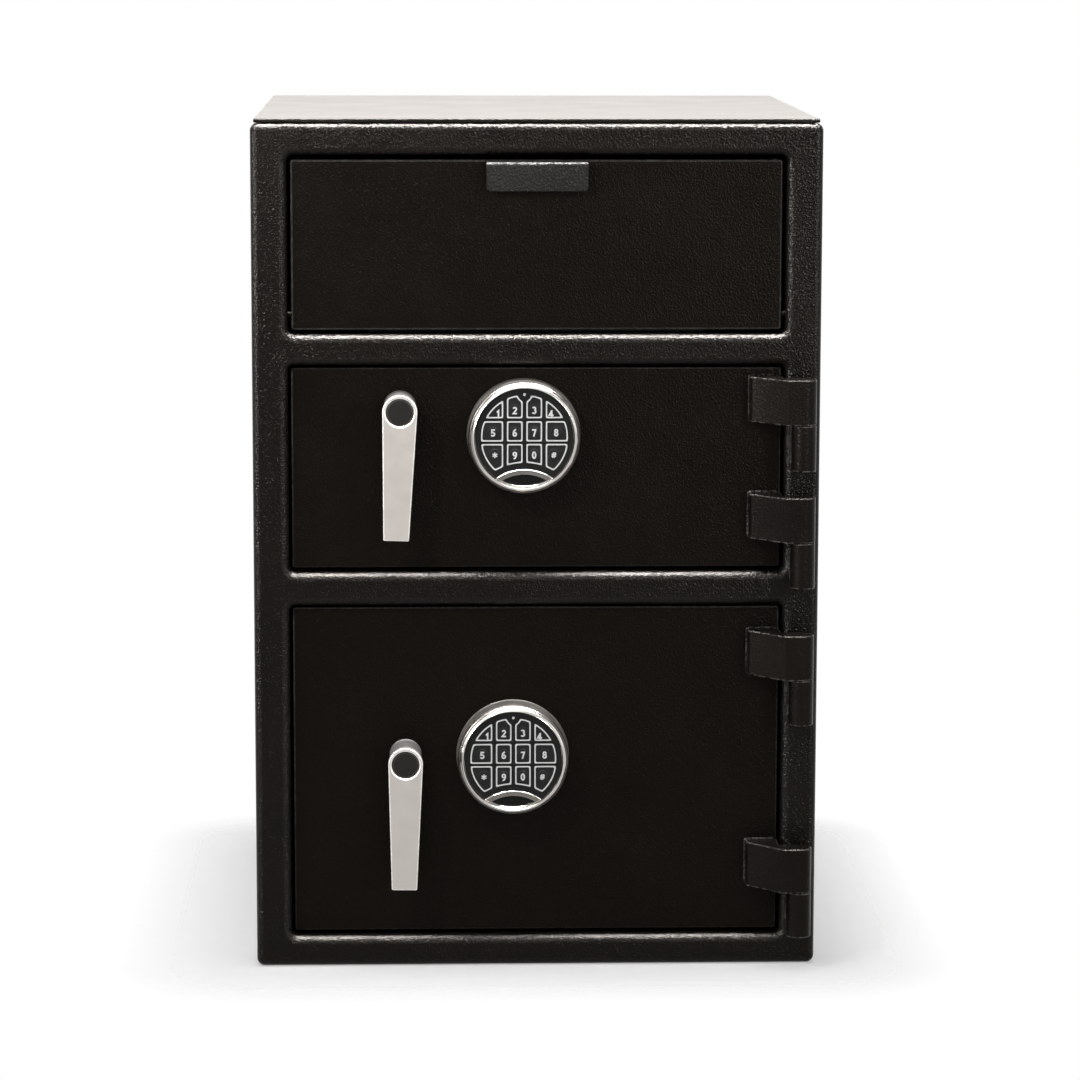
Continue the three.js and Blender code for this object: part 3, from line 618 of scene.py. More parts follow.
def mesh_of(name: str, shape: Shape, finishes: tuple["Finish", ...] = ()) -> bpy.types.Mesh:
    """The Blender mesh of a shape, in metres, with its finishes and its edge mark for painted highlight and
    abrasion.

    Args:
        name: name of the mesh.
        shape: the shape.
        finishes: its finishes, in the order of the finish numbers.

    Returns:
        The mesh.
    """
    mesh = bpy.data.meshes.new(name)
    mesh.from_pydata(shape.points * MM, [], [row for block in shape.faces for row in block.tolist()])
    for finish in finishes:
        mesh.materials.append(finish.material())
    tones = np.concatenate([np.full(len(block), tone) for block, tone in zip(shape.faces, shape.tones)])
    mesh.polygons.foreach_set("material_index", tones.astype(np.int32))
    # Stores the edge mark; the finishes paint highlight and abrasion from it
    mesh.attributes.new("wear_and_highlight", "FLOAT", "POINT").data.foreach_set("value", shape.wear_and_highlight.astype(np.float32))
    mesh.update()
    return mesh


def dressed(holder: bpy.types.Object, body: str, nodes: tuple[str, ...]) -> None:
    """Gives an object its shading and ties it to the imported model.

    Args:
        holder: the object.
        body: the body that it moves with.
        nodes: the CAD nodes that it stands for.
    """
    mesh = holder.data
    mesh.shade_smooth()
    mesh.set_sharp_from_angle(angle=math.radians(SHARP_ANGLE))
    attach(holder, body)
    if nodes:
        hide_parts(*nodes)
    log.info("%s on %s: %d faces", holder.name, body, len(mesh.polygons))


def piece(name: str, shape: Shape, finishes: tuple["Finish", ...], body: str, *nodes: str,
          slot_name: str = "", sheet: float = 0.0, soften: float = 0.0,
          cuts: tuple[Shape, ...] = ()) -> None:
    """Makes one finished object of a shape.

    Args:
        name: name of the object.
        shape: its surface.
        finishes: its finishes, in the order of the finish numbers.
        body: the body that it moves with.
        nodes: the CAD nodes that it stands for.
        slot_name: not used.
        sheet: thickness that an open surface gets inwards.
        soften: radius of the bevel on what is still sharp.
        cuts: closed shapes that are cut away.
    """
    holder = added(name, mesh_of(name, shape, finishes))
    if sheet:
        solid = holder.modifiers.new("sheet", "SOLIDIFY")
        solid.thickness, solid.offset, solid.use_even_offset = sheet * MM, -1, True
    tools = []
    for number, cut in enumerate(cuts):
        tools.append(added(f"{name}_cut_{number}", mesh_of("cut", cut)))
        taken = holder.modifiers.new("cut", "BOOLEAN")
        taken.object, taken.operation, taken.solver = tools[-1], "DIFFERENCE", "EXACT"
    if soften:
        softened(holder, soften)
    if holder.modifiers:
        evaluated(holder)
    for tool in tools:
        bpy.data.objects.remove(tool)
    dressed(holder, body, nodes)


def refined(node: str, finish: "Finish", body: str) -> None:
    """Stands in for a CAD node with a merged copy of its mesh, whose edges are softened.

    Args:
        node: name of the CAD node.
        finish: its finish.
        body: the body that it moves with.
    """
    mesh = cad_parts[node].data.copy()
    work = bmesh.new()
    work.from_mesh(mesh)
    bmesh.ops.remove_doubles(work, verts=work.verts, dist=1e-6)
    bmesh.ops.dissolve_limit(work, angle_limit=math.radians(1), verts=work.verts, edges=work.edges)
    work.to_mesh(mesh)
    work.free()
    mesh.materials.clear()
    mesh.materials.append(finish.material())
    holder = added(f"{node}_finished", mesh)
    softened(holder, 0.4)
    evaluated(holder)
    dressed(holder, body, (node,))


# Finishes


class Graph:
    """Node tree of one material, with short calls for the nodes that finishes share."""

    def __init__(self, name: str) -> None:
        """Starts an empty tree.

        Args:
            name: name of the material.
        """
        self.material = bpy.data.materials.new(name)
        self.material.use_nodes = True
        self.tree = self.material.node_tree
        self.tree.nodes.clear()
        self.place = self.node("ShaderNodeTexCoord").outputs["Object"]

    def node(self, kind: str, inputs: dict | None = None, **settings: object) -> bpy.types.Node:
        """Adds a node.

        Args:
            kind: Blender's name of the node.
            inputs: values or output sockets for its inputs, by name or number.
            settings: its own properties.

        Returns:
            The node.
        """
        made = self.tree.nodes.new(kind)
        for key, value in settings.items():
            setattr(made, key, value)
        for key, value in (inputs or {}).items():
            if isinstance(value, bpy.types.NodeSocket):
                self.tree.links.new(value, made.inputs[key])
            else:
                made.inputs[key].default_value = value
        return made

    def scaled(self, stretch: tuple[float, float, float]) -> bpy.types.NodeSocket:
        """Object coordinates, multiplied along each axis."""
        return self.node("ShaderNodeMapping", {"Vector": self.place, "Scale": stretch}).outputs[0]

    def noise(self, size: float, detail: float = 2.0, rough: float = 0.5,
              place: bpy.types.NodeSocket | None = None) -> bpy.types.NodeSocket:
        """Fractal noise about 0.5.

        Args:
            size: width of its largest features in millimetres.
            detail: number of finer layers.
            rough: strength of each layer against the one before.
            place: coordinates, where they aren't the object's own.

        Returns:
            The noise.
        """
        inputs = {"Vector": place or self.place, "Scale": 1 / (size * MM), "Detail": detail,
                  "Roughness": rough}
        return self.node("ShaderNodeTexNoise", inputs).outputs["Fac"]

    def cells(self, size: float) -> bpy.types.NodeSocket:
        """Smooth distance from the nearest of Voronoi cells' centres, with cells about size mm wide."""
        inputs = {"Vector": self.place, "Scale": 1 / (size * MM), "Smoothness": 0.35}
        return self.node("ShaderNodeTexVoronoi", inputs, feature="SMOOTH_F1").outputs["Distance"]

    def spread(self, value: bpy.types.NodeSocket, low: float, high: float, to_low: float = 0.0,
               to_high: float = 1.0) -> bpy.types.NodeSocket:
        """Maps a value from low..high to to_low..to_high, held inside that range."""
        inputs = {"Value": value, "From Min": low, "From Max": high, "To Min": to_low, "To Max": to_high}
        return self.node("ShaderNodeMapRange", inputs, clamp=True).outputs["Result"]

    def times(self, a: bpy.types.NodeSocket, b: bpy.types.NodeSocket | float) -> bpy.types.NodeSocket:
        """The product of two values."""
        return self.node("ShaderNodeMath", {0: a, 1: b}, operation="MULTIPLY").outputs[0]

    def blend(self, share: bpy.types.NodeSocket, first: object, second: object) -> bpy.types.NodeSocket:
        """Mixes two colours.

        Args:
            share: share of the second.
            first: a colour or a socket.
            second: a colour or a socket.

        Returns:
            The mixed colour.
        """
        full = [value if isinstance(value, bpy.types.NodeSocket) else (*value, 1.0)
                for value in (first, second)]
        inputs = {0: share, 6: full[0], 7: full[1]}
        return self.node("ShaderNodeMix", inputs, data_type="RGBA").outputs[2]

    def bump(self, height: bpy.types.NodeSocket, depth: float, strength: float = 1.0,
             under: bpy.types.NodeSocket | None = None) -> bpy.types.NodeSocket:
        """Bumps of a height map.

        Args:
            height: the height, about 0 to 1.
            depth: height of a full bump in millimetres.
            strength: share of it that shows.
            under: normal that the bumps are added to.

        Returns:
            The bumped normal.
        """
        inputs = {"Height": height, "Distance": depth * MM, "Strength": strength}
        if under is not None:
            inputs["Normal"] = under
        return self.node("ShaderNodeBump", inputs).outputs["Normal"]

    def worn_and_lit(self) -> bpy.types.NodeSocket:
        """The edge mark that the mesh stores along its edges, from which finishes paint highlight and
        abrasion.
        """
        return self.node("ShaderNodeAttribute", attribute_name="wear_and_highlight").outputs["Fac"]

    def upward(self) -> bpy.types.NodeSocket:
        """How far the piece's own surface looks up, from 0 to 1."""
        normal = self.node("ShaderNodeTexCoord").outputs["Normal"]
        return self.spread(self.node("ShaderNodeSeparateXYZ", {0: normal}).outputs["Z"], 0.6, 1.0)

    def finish(self, **inputs: object) -> bpy.types.Material:
        """Closes the tree with one surface shader.

        Args:
            inputs: the shader's inputs, with underscores for blanks.

        Returns:
            The material.
        """
        values = {key.replace("_", " "): value for key, value in inputs.items()}
        shader = self.node("ShaderNodeBsdfPrincipled", values)
        self.node("ShaderNodeOutputMaterial", {"Surface": shader.outputs[0]})
        return self.material


class Finish:
    """A finish that makes its own material."""

    name: str

    def material(self) -> bpy.types.Material:
        """The material of this finish."""
        raise NotImplementedError


@dataclass(frozen=True)
class Paint(Finish):
    """Powder coat: patchy colour, a cell texture with finer grain, edges painted toward a lighter colour as
    painted highlight and abrasion, and a little dust.
    """

    name: str
    colour: tuple[float, float, float]
    shade: tuple[float, float, float]
    worn_and_lit: tuple[float, float, float] = (0.09, 0.085, 0.08)
    patch: float = 90.0
    cell: float = 1.8
    cell_depth: float = 0.1
    lump: float = 2.0
    lump_depth: float = 0.2
    grain: float = 0.9
    grain_depth: float = 0.05
    roughness: tuple[float, float] = (0.34, 0.5)
    specular: float = 0.2
    tint: tuple[float, float, float] = (1.0, 1.0, 1.0)
    dust: float = 0.0
    wear_and_highlight: float = 0.35
    even: float = 0.0

    @cache
    def material(self) -> bpy.types.Material:
        """The material of this finish.

        Returns:
            The same material each time.
        """
        graph = Graph(self.name)
        patches = graph.spread(graph.noise(self.patch, 4, 0.6), 0.35, 0.65)
        colour = graph.blend(patches, self.colour, self.shade)
        fine = graph.noise(self.grain, 2, 0.6)
        speck = graph.spread(graph.noise(self.grain * 1.7, 1, 0.5), 0.56, 0.7, 0.0, 0.35)
        colour = graph.blend(speck, colour, tuple(min(1.0, 2.2 * c) for c in self.colour))
        # Marked edges, broken up by noise, go toward the edge colour: painted highlight along edges, partly
        # abrasion
        edge_breakup = graph.spread(graph.noise(4.0, 3, 0.7), 0.45, 0.62, self.even, 1.0)
        edge = graph.times(graph.worn_and_lit(), edge_breakup)
        colour = graph.blend(graph.times(edge, self.wear_and_highlight), colour, self.worn_and_lit)
        powder = graph.times(graph.upward(), graph.spread(graph.noise(30.0, 5, 0.65), 0.38, 0.68))
        colour = graph.blend(graph.times(powder, self.dust), colour, POWDER)
        smear = graph.spread(graph.noise(60.0, 3, 0.6), 0.3, 0.7, *self.roughness)
        normal = graph.bump(graph.cells(self.cell), self.cell_depth)
        normal = graph.bump(graph.noise(self.lump, 2, 0.5), self.lump_depth, under=normal)
        normal = graph.bump(fine, self.grain_depth, under=normal)
        return graph.finish(Base_Color=colour, Roughness=smear, Normal=normal,
                            Specular_IOR_Level=self.specular, Specular_Tint=(*self.tint, 1.0))


@dataclass(frozen=True)
class Metal(Finish):
    """Bare or plated metal: drawn grain along one direction, smudges, and edges painted toward a lighter
    colour as painted highlight on bevels, partly polish.
    """

    name: str
    colour: tuple[float, float, float]
    shade: tuple[float, float, float]
    roughness: tuple[float, float] = (0.25, 0.4)
    metallic: float = 1.0
    stretch: tuple[float, float, float] = (1.0, 1.0, 0.04)
    grain: float = 0.35
    grain_depth: float = 0.012
    smudge: float = 35.0
    edge: tuple[float, float, float] = (0.8, 0.78, 0.75)
    wear_and_highlight: float = 0.5
    specular: float = 0.5

    @cache
    def material(self) -> bpy.types.Material:
        """The material of this finish.

        Returns:
            The same material each time.
        """
        graph = Graph(self.name)
        drawn = graph.noise(self.grain, 3, 0.6, graph.scaled(self.stretch))
        smudges = graph.spread(graph.noise(self.smudge, 4, 0.6), 0.35, 0.66)
        streak = graph.spread(drawn, 0.3, 0.7)
        colour = graph.blend(graph.times(streak, 0.5), self.colour, self.shade)
        colour = graph.blend(graph.times(smudges, 0.45), colour, self.shade)
        # Marked edges go toward the lighter edge colour: painted highlight on bevels, partly polish
        edge = graph.times(graph.worn_and_lit(), graph.spread(graph.noise(3.0, 2, 0.6), 0.3, 0.6, 0.5, 1.0))
        colour = graph.blend(graph.times(edge, self.wear_and_highlight), colour, self.edge)
        rough = graph.spread(graph.noise(self.smudge * 0.4, 4, 0.65), 0.3, 0.7, *self.roughness)
        normal = graph.bump(drawn, self.grain_depth)
        normal = graph.bump(graph.noise(self.smudge * 0.3, 2, 0.5), 0.01, 0.5, under=normal)
        return graph.finish(Base_Color=colour, Metallic=self.metallic, Roughness=rough, Normal=normal,
                            Specular_IOR_Level=self.specular)


@dataclass(frozen=True)
class Plastic(Finish):
    """Moulded plastic, rubber or print: faint mottle, fine grain, finger smudges."""

    name: str
    colour: tuple[float, float, float]
    shade: tuple[float, float, float]
    roughness: tuple[float, float] = (0.3, 0.5)
    grain: float = 0.3
    grain_depth: float = 0.008
    specular: float = 0.3
    wear_and_highlight: float = 0.2
    worn_and_lit: tuple[float, float, float] = (0.05, 0.05, 0.05)

    @cache
    def material(self) -> bpy.types.Material:
        """The material of this finish.

        Returns:
            The same material each time.
        """
        graph = Graph(self.name)
        mottle = graph.spread(graph.noise(14.0, 4, 0.6), 0.35, 0.65)
        colour = graph.blend(mottle, self.colour, self.shade)
        # Marked edges go toward the edge colour: on dark plastic a lighter one, painted highlight on rims
        # with some abrasion; on print a darker one, scuffed print
        edge = graph.times(graph.worn_and_lit(), graph.spread(graph.noise(2.0, 2, 0.6), 0.4, 0.6))
        colour = graph.blend(graph.times(edge, self.wear_and_highlight), colour, self.worn_and_lit)
        rough = graph.spread(graph.noise(7.0, 4, 0.65), 0.3, 0.7, *self.roughness)
        normal = graph.bump(graph.noise(self.grain, 2, 0.5), self.grain_depth)
        return graph.finish(Base_Color=colour, Roughness=rough, Normal=normal,
                            Specular_IOR_Level=self.specular)


class Finishes:
    """The safe's finishes, named for where they go."""

    HAMMERED = Paint("hammered_black_paint", (0.0056, 0.0045, 0.0037), (0.0042, 0.0034, 0.0028),
                     cell=1.8, cell_depth=0.32, lump=1.5, lump_depth=0.52, grain=0.8, grain_depth=0.12,
                     roughness=(0.1, 0.15), specular=0.10, tint=(1.0, 0.9, 0.82), wear_and_highlight=0.05)
    BEND = Paint("hammered_black_bends", (0.0056, 0.0045, 0.0037), (0.0042, 0.0034, 0.0028),
                 cell=1.7, cell_depth=0.3, lump=1.5, lump_depth=0.65, grain=0.8, grain_depth=0.12,
                 roughness=(0.14, 0.2), specular=0.13, tint=(1.0, 0.92, 0.86), wear_and_highlight=0.05)
    # The roof paint is about four times lighter than the frame paint: painted sheen of the top, with a little
    # real dust on it
    ROOF_WITH_PAINTED_SHEEN = Paint("roof_paint_with_painted_sheen", (0.024, 0.0212, 0.0185), (0.018, 0.0158, 0.0138), cell=2.0,
                 cell_depth=0.07, lump=4.0, lump_depth=0.05, grain=0.8, grain_depth=0.03,
                 roughness=(0.3, 0.36), specular=0.85, tint=(1.0, 0.95, 0.90), dust=0.07, wear_and_highlight=0.2)
    # The door and hopper paint takes the edge colour strongly on marked edges: painted highlight along those
    # edges, partly abrasion
    SMOOTH = Paint("smooth_black_paint", (0.0053, 0.0043, 0.0035), (0.0042, 0.0034, 0.0027),
                   cell=1.8, cell_depth=0.2, lump=1.6, lump_depth=0.48, grain=0.9, grain_depth=0.1,
                   roughness=(0.2, 0.3), specular=0.055, tint=(1.0, 0.84, 0.72), wear_and_highlight=0.85, even=0.5)
    PULL = Paint("pull_paint", (0.0165, 0.0150, 0.0128), (0.0120, 0.0110, 0.0094), cell=1.8,
                 cell_depth=0.3, lump=2.0, lump_depth=0.6, grain=0.9, grain_depth=0.12,
                 roughness=(0.28, 0.4), specular=0.09, wear_and_highlight=0.1)
    # The hinge paint turns light grey on marked edges and beads: painted highlight on the straps' tops, edges
    # and welds, partly abrasion
    HINGE = Paint("hinge_black_paint", (0.0062, 0.0050, 0.0041), (0.0046, 0.0037, 0.0030),
                  worn_and_lit=(0.2, 0.19, 0.175), cell=1.8, cell_depth=0.15, lump=2.4, lump_depth=0.3,
                  grain=0.9, grain_depth=0.08, roughness=(0.22, 0.34), specular=0.08,
                  tint=(1.0, 0.88, 0.8), wear_and_highlight=0.8)
    INNER = Paint("inner_black_paint", (0.0110, 0.0095, 0.0082), (0.0080, 0.0070, 0.0060),
                  cell=1.8, cell_depth=0.1, lump=2.4, lump_depth=0.15, roughness=(0.42, 0.58),
                  specular=0.12, dust=0.06, wear_and_highlight=0.2)
    # The lever's bevels and bore edge go to a near-white edge colour: painted highlight, partly polish
    NICKEL = Metal("satin_nickel", (0.51, 0.475, 0.44), (0.475, 0.44, 0.408), roughness=(0.3, 0.36),
                   metallic=0.6, edge=(0.95, 0.92, 0.88), wear_and_highlight=0.9)
    CAP = Metal("dark_cap", (0.014, 0.0122, 0.0102), (0.0105, 0.0092, 0.0077), roughness=(0.4, 0.52),
                metallic=0.1, stretch=(1, 1, 1), edge=(0.10, 0.09, 0.08), specular=0.15)
    HUB = Metal("grey_hub", (0.108, 0.102, 0.096), (0.085, 0.08, 0.075), roughness=(0.5, 0.62),
                metallic=0.15, stretch=(1, 0.05, 1), edge=(0.14, 0.133, 0.126), specular=0.25, wear_and_highlight=0.4)
    ZINC = Metal("zinc_steel", (0.46, 0.45, 0.42), (0.33, 0.33, 0.32), roughness=(0.3, 0.46),
                 stretch=(0.05, 1, 1), edge=(0.66, 0.64, 0.6))
    CASTING = Metal("lock_casting", (0.24, 0.245, 0.25), (0.17, 0.175, 0.18), roughness=(0.42, 0.6),
                    stretch=(1, 1, 1), grain=0.6, grain_depth=0.05, metallic=0.8)
    # Chrome's marked edges, the housing's crest among them, go toward a lighter edge colour: painted
    # highlight
    CHROME = Metal("polished_chrome", (0.50, 0.475, 0.445), (0.40, 0.38, 0.355), roughness=(0.09, 0.16),
                   stretch=(1, 1, 1), grain=2.0, grain_depth=0.004, edge=(0.62, 0.6, 0.57), wear_and_highlight=0.4)
    # Darker copies of the housing's metal for its side and shoulder: painted shade standing in for dark
    # reflections
    SHADED_SIDE = Metal("housing_side_painted_shade", (0.16, 0.148, 0.135), (0.11, 0.10, 0.092),
                 roughness=(0.32, 0.44), metallic=0.6, stretch=(1, 0.05, 1), edge=(0.3, 0.28, 0.26))
    SHADED_SHOULDER = Metal("housing_shoulder_painted_shade", (0.085, 0.078, 0.072), (0.06, 0.055, 0.05),
                     roughness=(0.24, 0.34), stretch=(1, 1, 1), edge=(0.22, 0.2, 0.19))
    PLATE = Metal("satin_badge_plate", (0.16, 0.15, 0.14), (0.12, 0.112, 0.104), roughness=(0.24, 0.34),
                  stretch=(0.05, 1, 1), edge=(0.6, 0.58, 0.55), wear_and_highlight=0.6)
    BADGE = Plastic("badge_black", (0.006, 0.0055, 0.005), (0.004, 0.0037, 0.0034),
                    roughness=(0.2, 0.3), specular=0.1)
    PANEL = Plastic("keypad_black", (0.0065, 0.006, 0.0055), (0.0045, 0.0042, 0.004),
                    roughness=(0.28, 0.42), specular=0.14)
    KEY = Plastic("key_rubber", (0.0085, 0.008, 0.0075), (0.006, 0.0057, 0.0054),
                  roughness=(0.34, 0.48), specular=0.16, grain_depth=0.012)
    PRINT = Plastic("white_print", (0.86, 0.86, 0.84), (0.78, 0.78, 0.76), roughness=(0.4, 0.55),
                    specular=0.3, wear_and_highlight=0.1, worn_and_lit=(0.5, 0.5, 0.5))


# Cabinet

OPENINGS = {"lower": (27.5, 332.5), "upper": (362.4, 549.5), "hopper": (577.0, 736.5)}
FRONT = -254.0
BACK = 254.0
FACE = -242.0
RETURN_END = -222.0
SHELL_TOP = 764.3
SHEET = 3.4
SEAM = 0.3
PIVOT_Y = -238.8
PIVOT_Z = 593.8
PIVOT = np.array([PIVOT_Y, PIVOT_Z])
HOPPER_TILT = 48.0


@dataclass
class Cabinet:
    """Front frame, bent wrap of floor and sides, roof plate and back plate."""

    half: float = 254.0
    corner: float = 7.0
    rim: float = 6.0
    opening_half: float = 222.0
    opening_corner: float = 6.0
    opening_bend: float = 7.0
    pivot_hole: float = 3.4
    pivot_reach: float = 230.0
    flange: float = 24.0
    anchor_x: float = 170.0
    anchor_y: float = 154.0
    anchor_radius: float = 6.5
    roof_inset: float = 3.0
    roof_top: float = 768.0
    plate_corner: float = 2.5
    plate_edge: float = 0.9
    bend_steps: int = 9
    corner_steps: int = 10

    def rolled(self, radius: float, start: float) -> np.ndarray:
        """Rows of an edge that rolls from a side wall to the front: a quarter round, then the flat.

        Args:
            radius: radius of the bend.
            start: height at which the side wall begins.

        Returns:
            Rows [inset, height, wear].
        """
        turn = np.radians(np.linspace(0, 90, self.bend_steps + 1))
        roll = np.column_stack([radius * (1 - np.cos(turn)), FRONT + radius * (1 - np.sin(turn)),
                                np.ones_like(turn)])
        return np.vstack([[[0, start, 0]], roll, [[radius + HOLD, FRONT, 0]]])

    def front_frame(self) -> Shape:
        """Outer skin of the frame: a rolled rim, and openings whose edges fold back into returns.

        Returns:
            The open skin.
        """
        outline = rectangle(-self.half, self.half, 0, SHELL_TOP, self.corner, self.corner_steps)
        walls = [wall(outline, self.rolled(self.rim, FRONT + self.rim + 0.01), edge_tone=1)]
        for low, high in OPENINGS.values():
            edge = rectangle(-self.opening_half, self.opening_half, low, high, self.opening_corner,
                             self.corner_steps)
            walls.append(wall(edge, self.rolled(self.opening_bend, RETURN_END), hole=True, edge_tone=1))
        return facing(built(walls, Plane.XZ, ends=(False, True)), (0, -1, 0))

    def shell(self) -> Shape:
        """Outer skin of the wrap: flange, bend, side, bend and floor, the same again mirrored.

        Returns:
            The open skin.
        """
        right = np.vstack([
            [[self.half - self.flange, SHELL_TOP]],
            arc(self.half - self.corner, SHELL_TOP - self.corner, self.corner, 90, 0, self.bend_steps),
            arc(self.half - self.corner, self.corner, self.corner, 0, -90, self.bend_steps),
        ])
        line = np.vstack([right, right[::-1] * np.array([-1, 1])])
        depth = np.array([FRONT + self.rim + SEAM, FRONT + self.rim + SEAM + HOLD,
                          BACK - SHEET - SEAM - HOLD, BACK - SHEET - SEAM])
        points = placed(np.tile(line, (len(depth), 1)), np.repeat(depth, len(line)), Plane.XZ)
        faces = list(band(len(depth), len(line), around=False))
        return outward(Shape(points, faces, [0] * len(faces), np.zeros(len(points))))

    def make(self) -> None:
        """Makes the cabinet's pieces."""
        pivots = rod(self.pivot_hole, -self.pivot_reach, self.pivot_reach, (PIVOT_Y, PIVOT_Z), Plane.YZ,
                     0.1, 32)
        piece("front_frame_skin", self.front_frame(), (Finishes.HAMMERED, Finishes.BEND), "root",
              "front_frame", sheet=SHEET, soften=0.5, cuts=(pivots,))
        holes = tuple(rod(self.anchor_radius, -1, SHEET + 1, (sx * self.anchor_x, sy * self.anchor_y),
                          Plane.XY, 0.1, 32) for sx in (-1, 1) for sy in (-1, 1))
        piece("cabinet_wrap", self.shell(), (Finishes.HAMMERED,), "root", "cabinet_shell",
              sheet=SHEET, soften=0.4, cuts=holes)
        reach = self.half - self.roof_inset
        outline = rectangle(-reach, reach, FRONT + self.roof_inset, BACK - self.roof_inset, self.plate_corner)
        roof = slab(outline, self.roof_top - SHEET, self.roof_top, Plane.XY, edge=self.plate_edge,
                    steps=4, tone=1)
        roof.tones[-1] = 0
        piece("roof_plate", roof, (Finishes.ROOF_WITH_PAINTED_SHEEN, Finishes.HAMMERED), "root", "top_plate",
              slot_name=Finishes.HAMMERED.name)
        back = slab(rectangle(-self.half, self.half, 0, SHELL_TOP, self.corner), BACK - SHEET, BACK,
                    Plane.XZ, edge=self.plate_edge)
        piece("rear_plate", back, (Finishes.HAMMERED,), "root", "back_plate")


@dataclass
class Inside:
    """What is welded in the cabinet: shelf, curved baffle and hopper ledge."""

    half: float = 247.0
    baffle_radius: float = 170.0
    baffle_sheet: float = 2.5
    baffle_first: float = 15.0
    roof_rise: float = 166.8
    baffle_flange: float = 20.0
    baffle_weld: float = 11.0
    weld_angle: float = 3.5

    def baffle(self) -> Shape:
        """A plate bent about the hopper's pivot, with a flange welded under the roof.

        Returns:
            The shape.
        """
        outer = self.baffle_radius + self.baffle_sheet
        last = math.degrees(math.asin((self.roof_rise - self.baffle_sheet) / outer))
        inner_line = arc(0, 0, self.baffle_radius, self.baffle_first, last, 40)
        y = inner_line[-1, 0]
        under = self.roof_rise - self.baffle_sheet
        flange = np.array([[y, self.roof_rise], [y + self.baffle_flange, self.roof_rise],
                           [y + self.baffle_flange, under], [y + self.baffle_weld, under]])
        back = arc(0, 0, outer, last - self.weld_angle, self.baffle_first, 40)
        outline = np.vstack([inner_line, flange, back])[::-1]
        return slab(outline + PIVOT, -self.half, self.half, Plane.YZ, edge=0.3, steps=2)

    def make(self) -> None:
        """Makes the inner pieces."""
        piece("curved_baffle", self.baffle(), (Finishes.INNER,), "root", "anti_fish_baffle")
        refined("compartment_shelf", Finishes.INNER, "root")
        refined("hopper_stop", Finishes.INNER, "root")


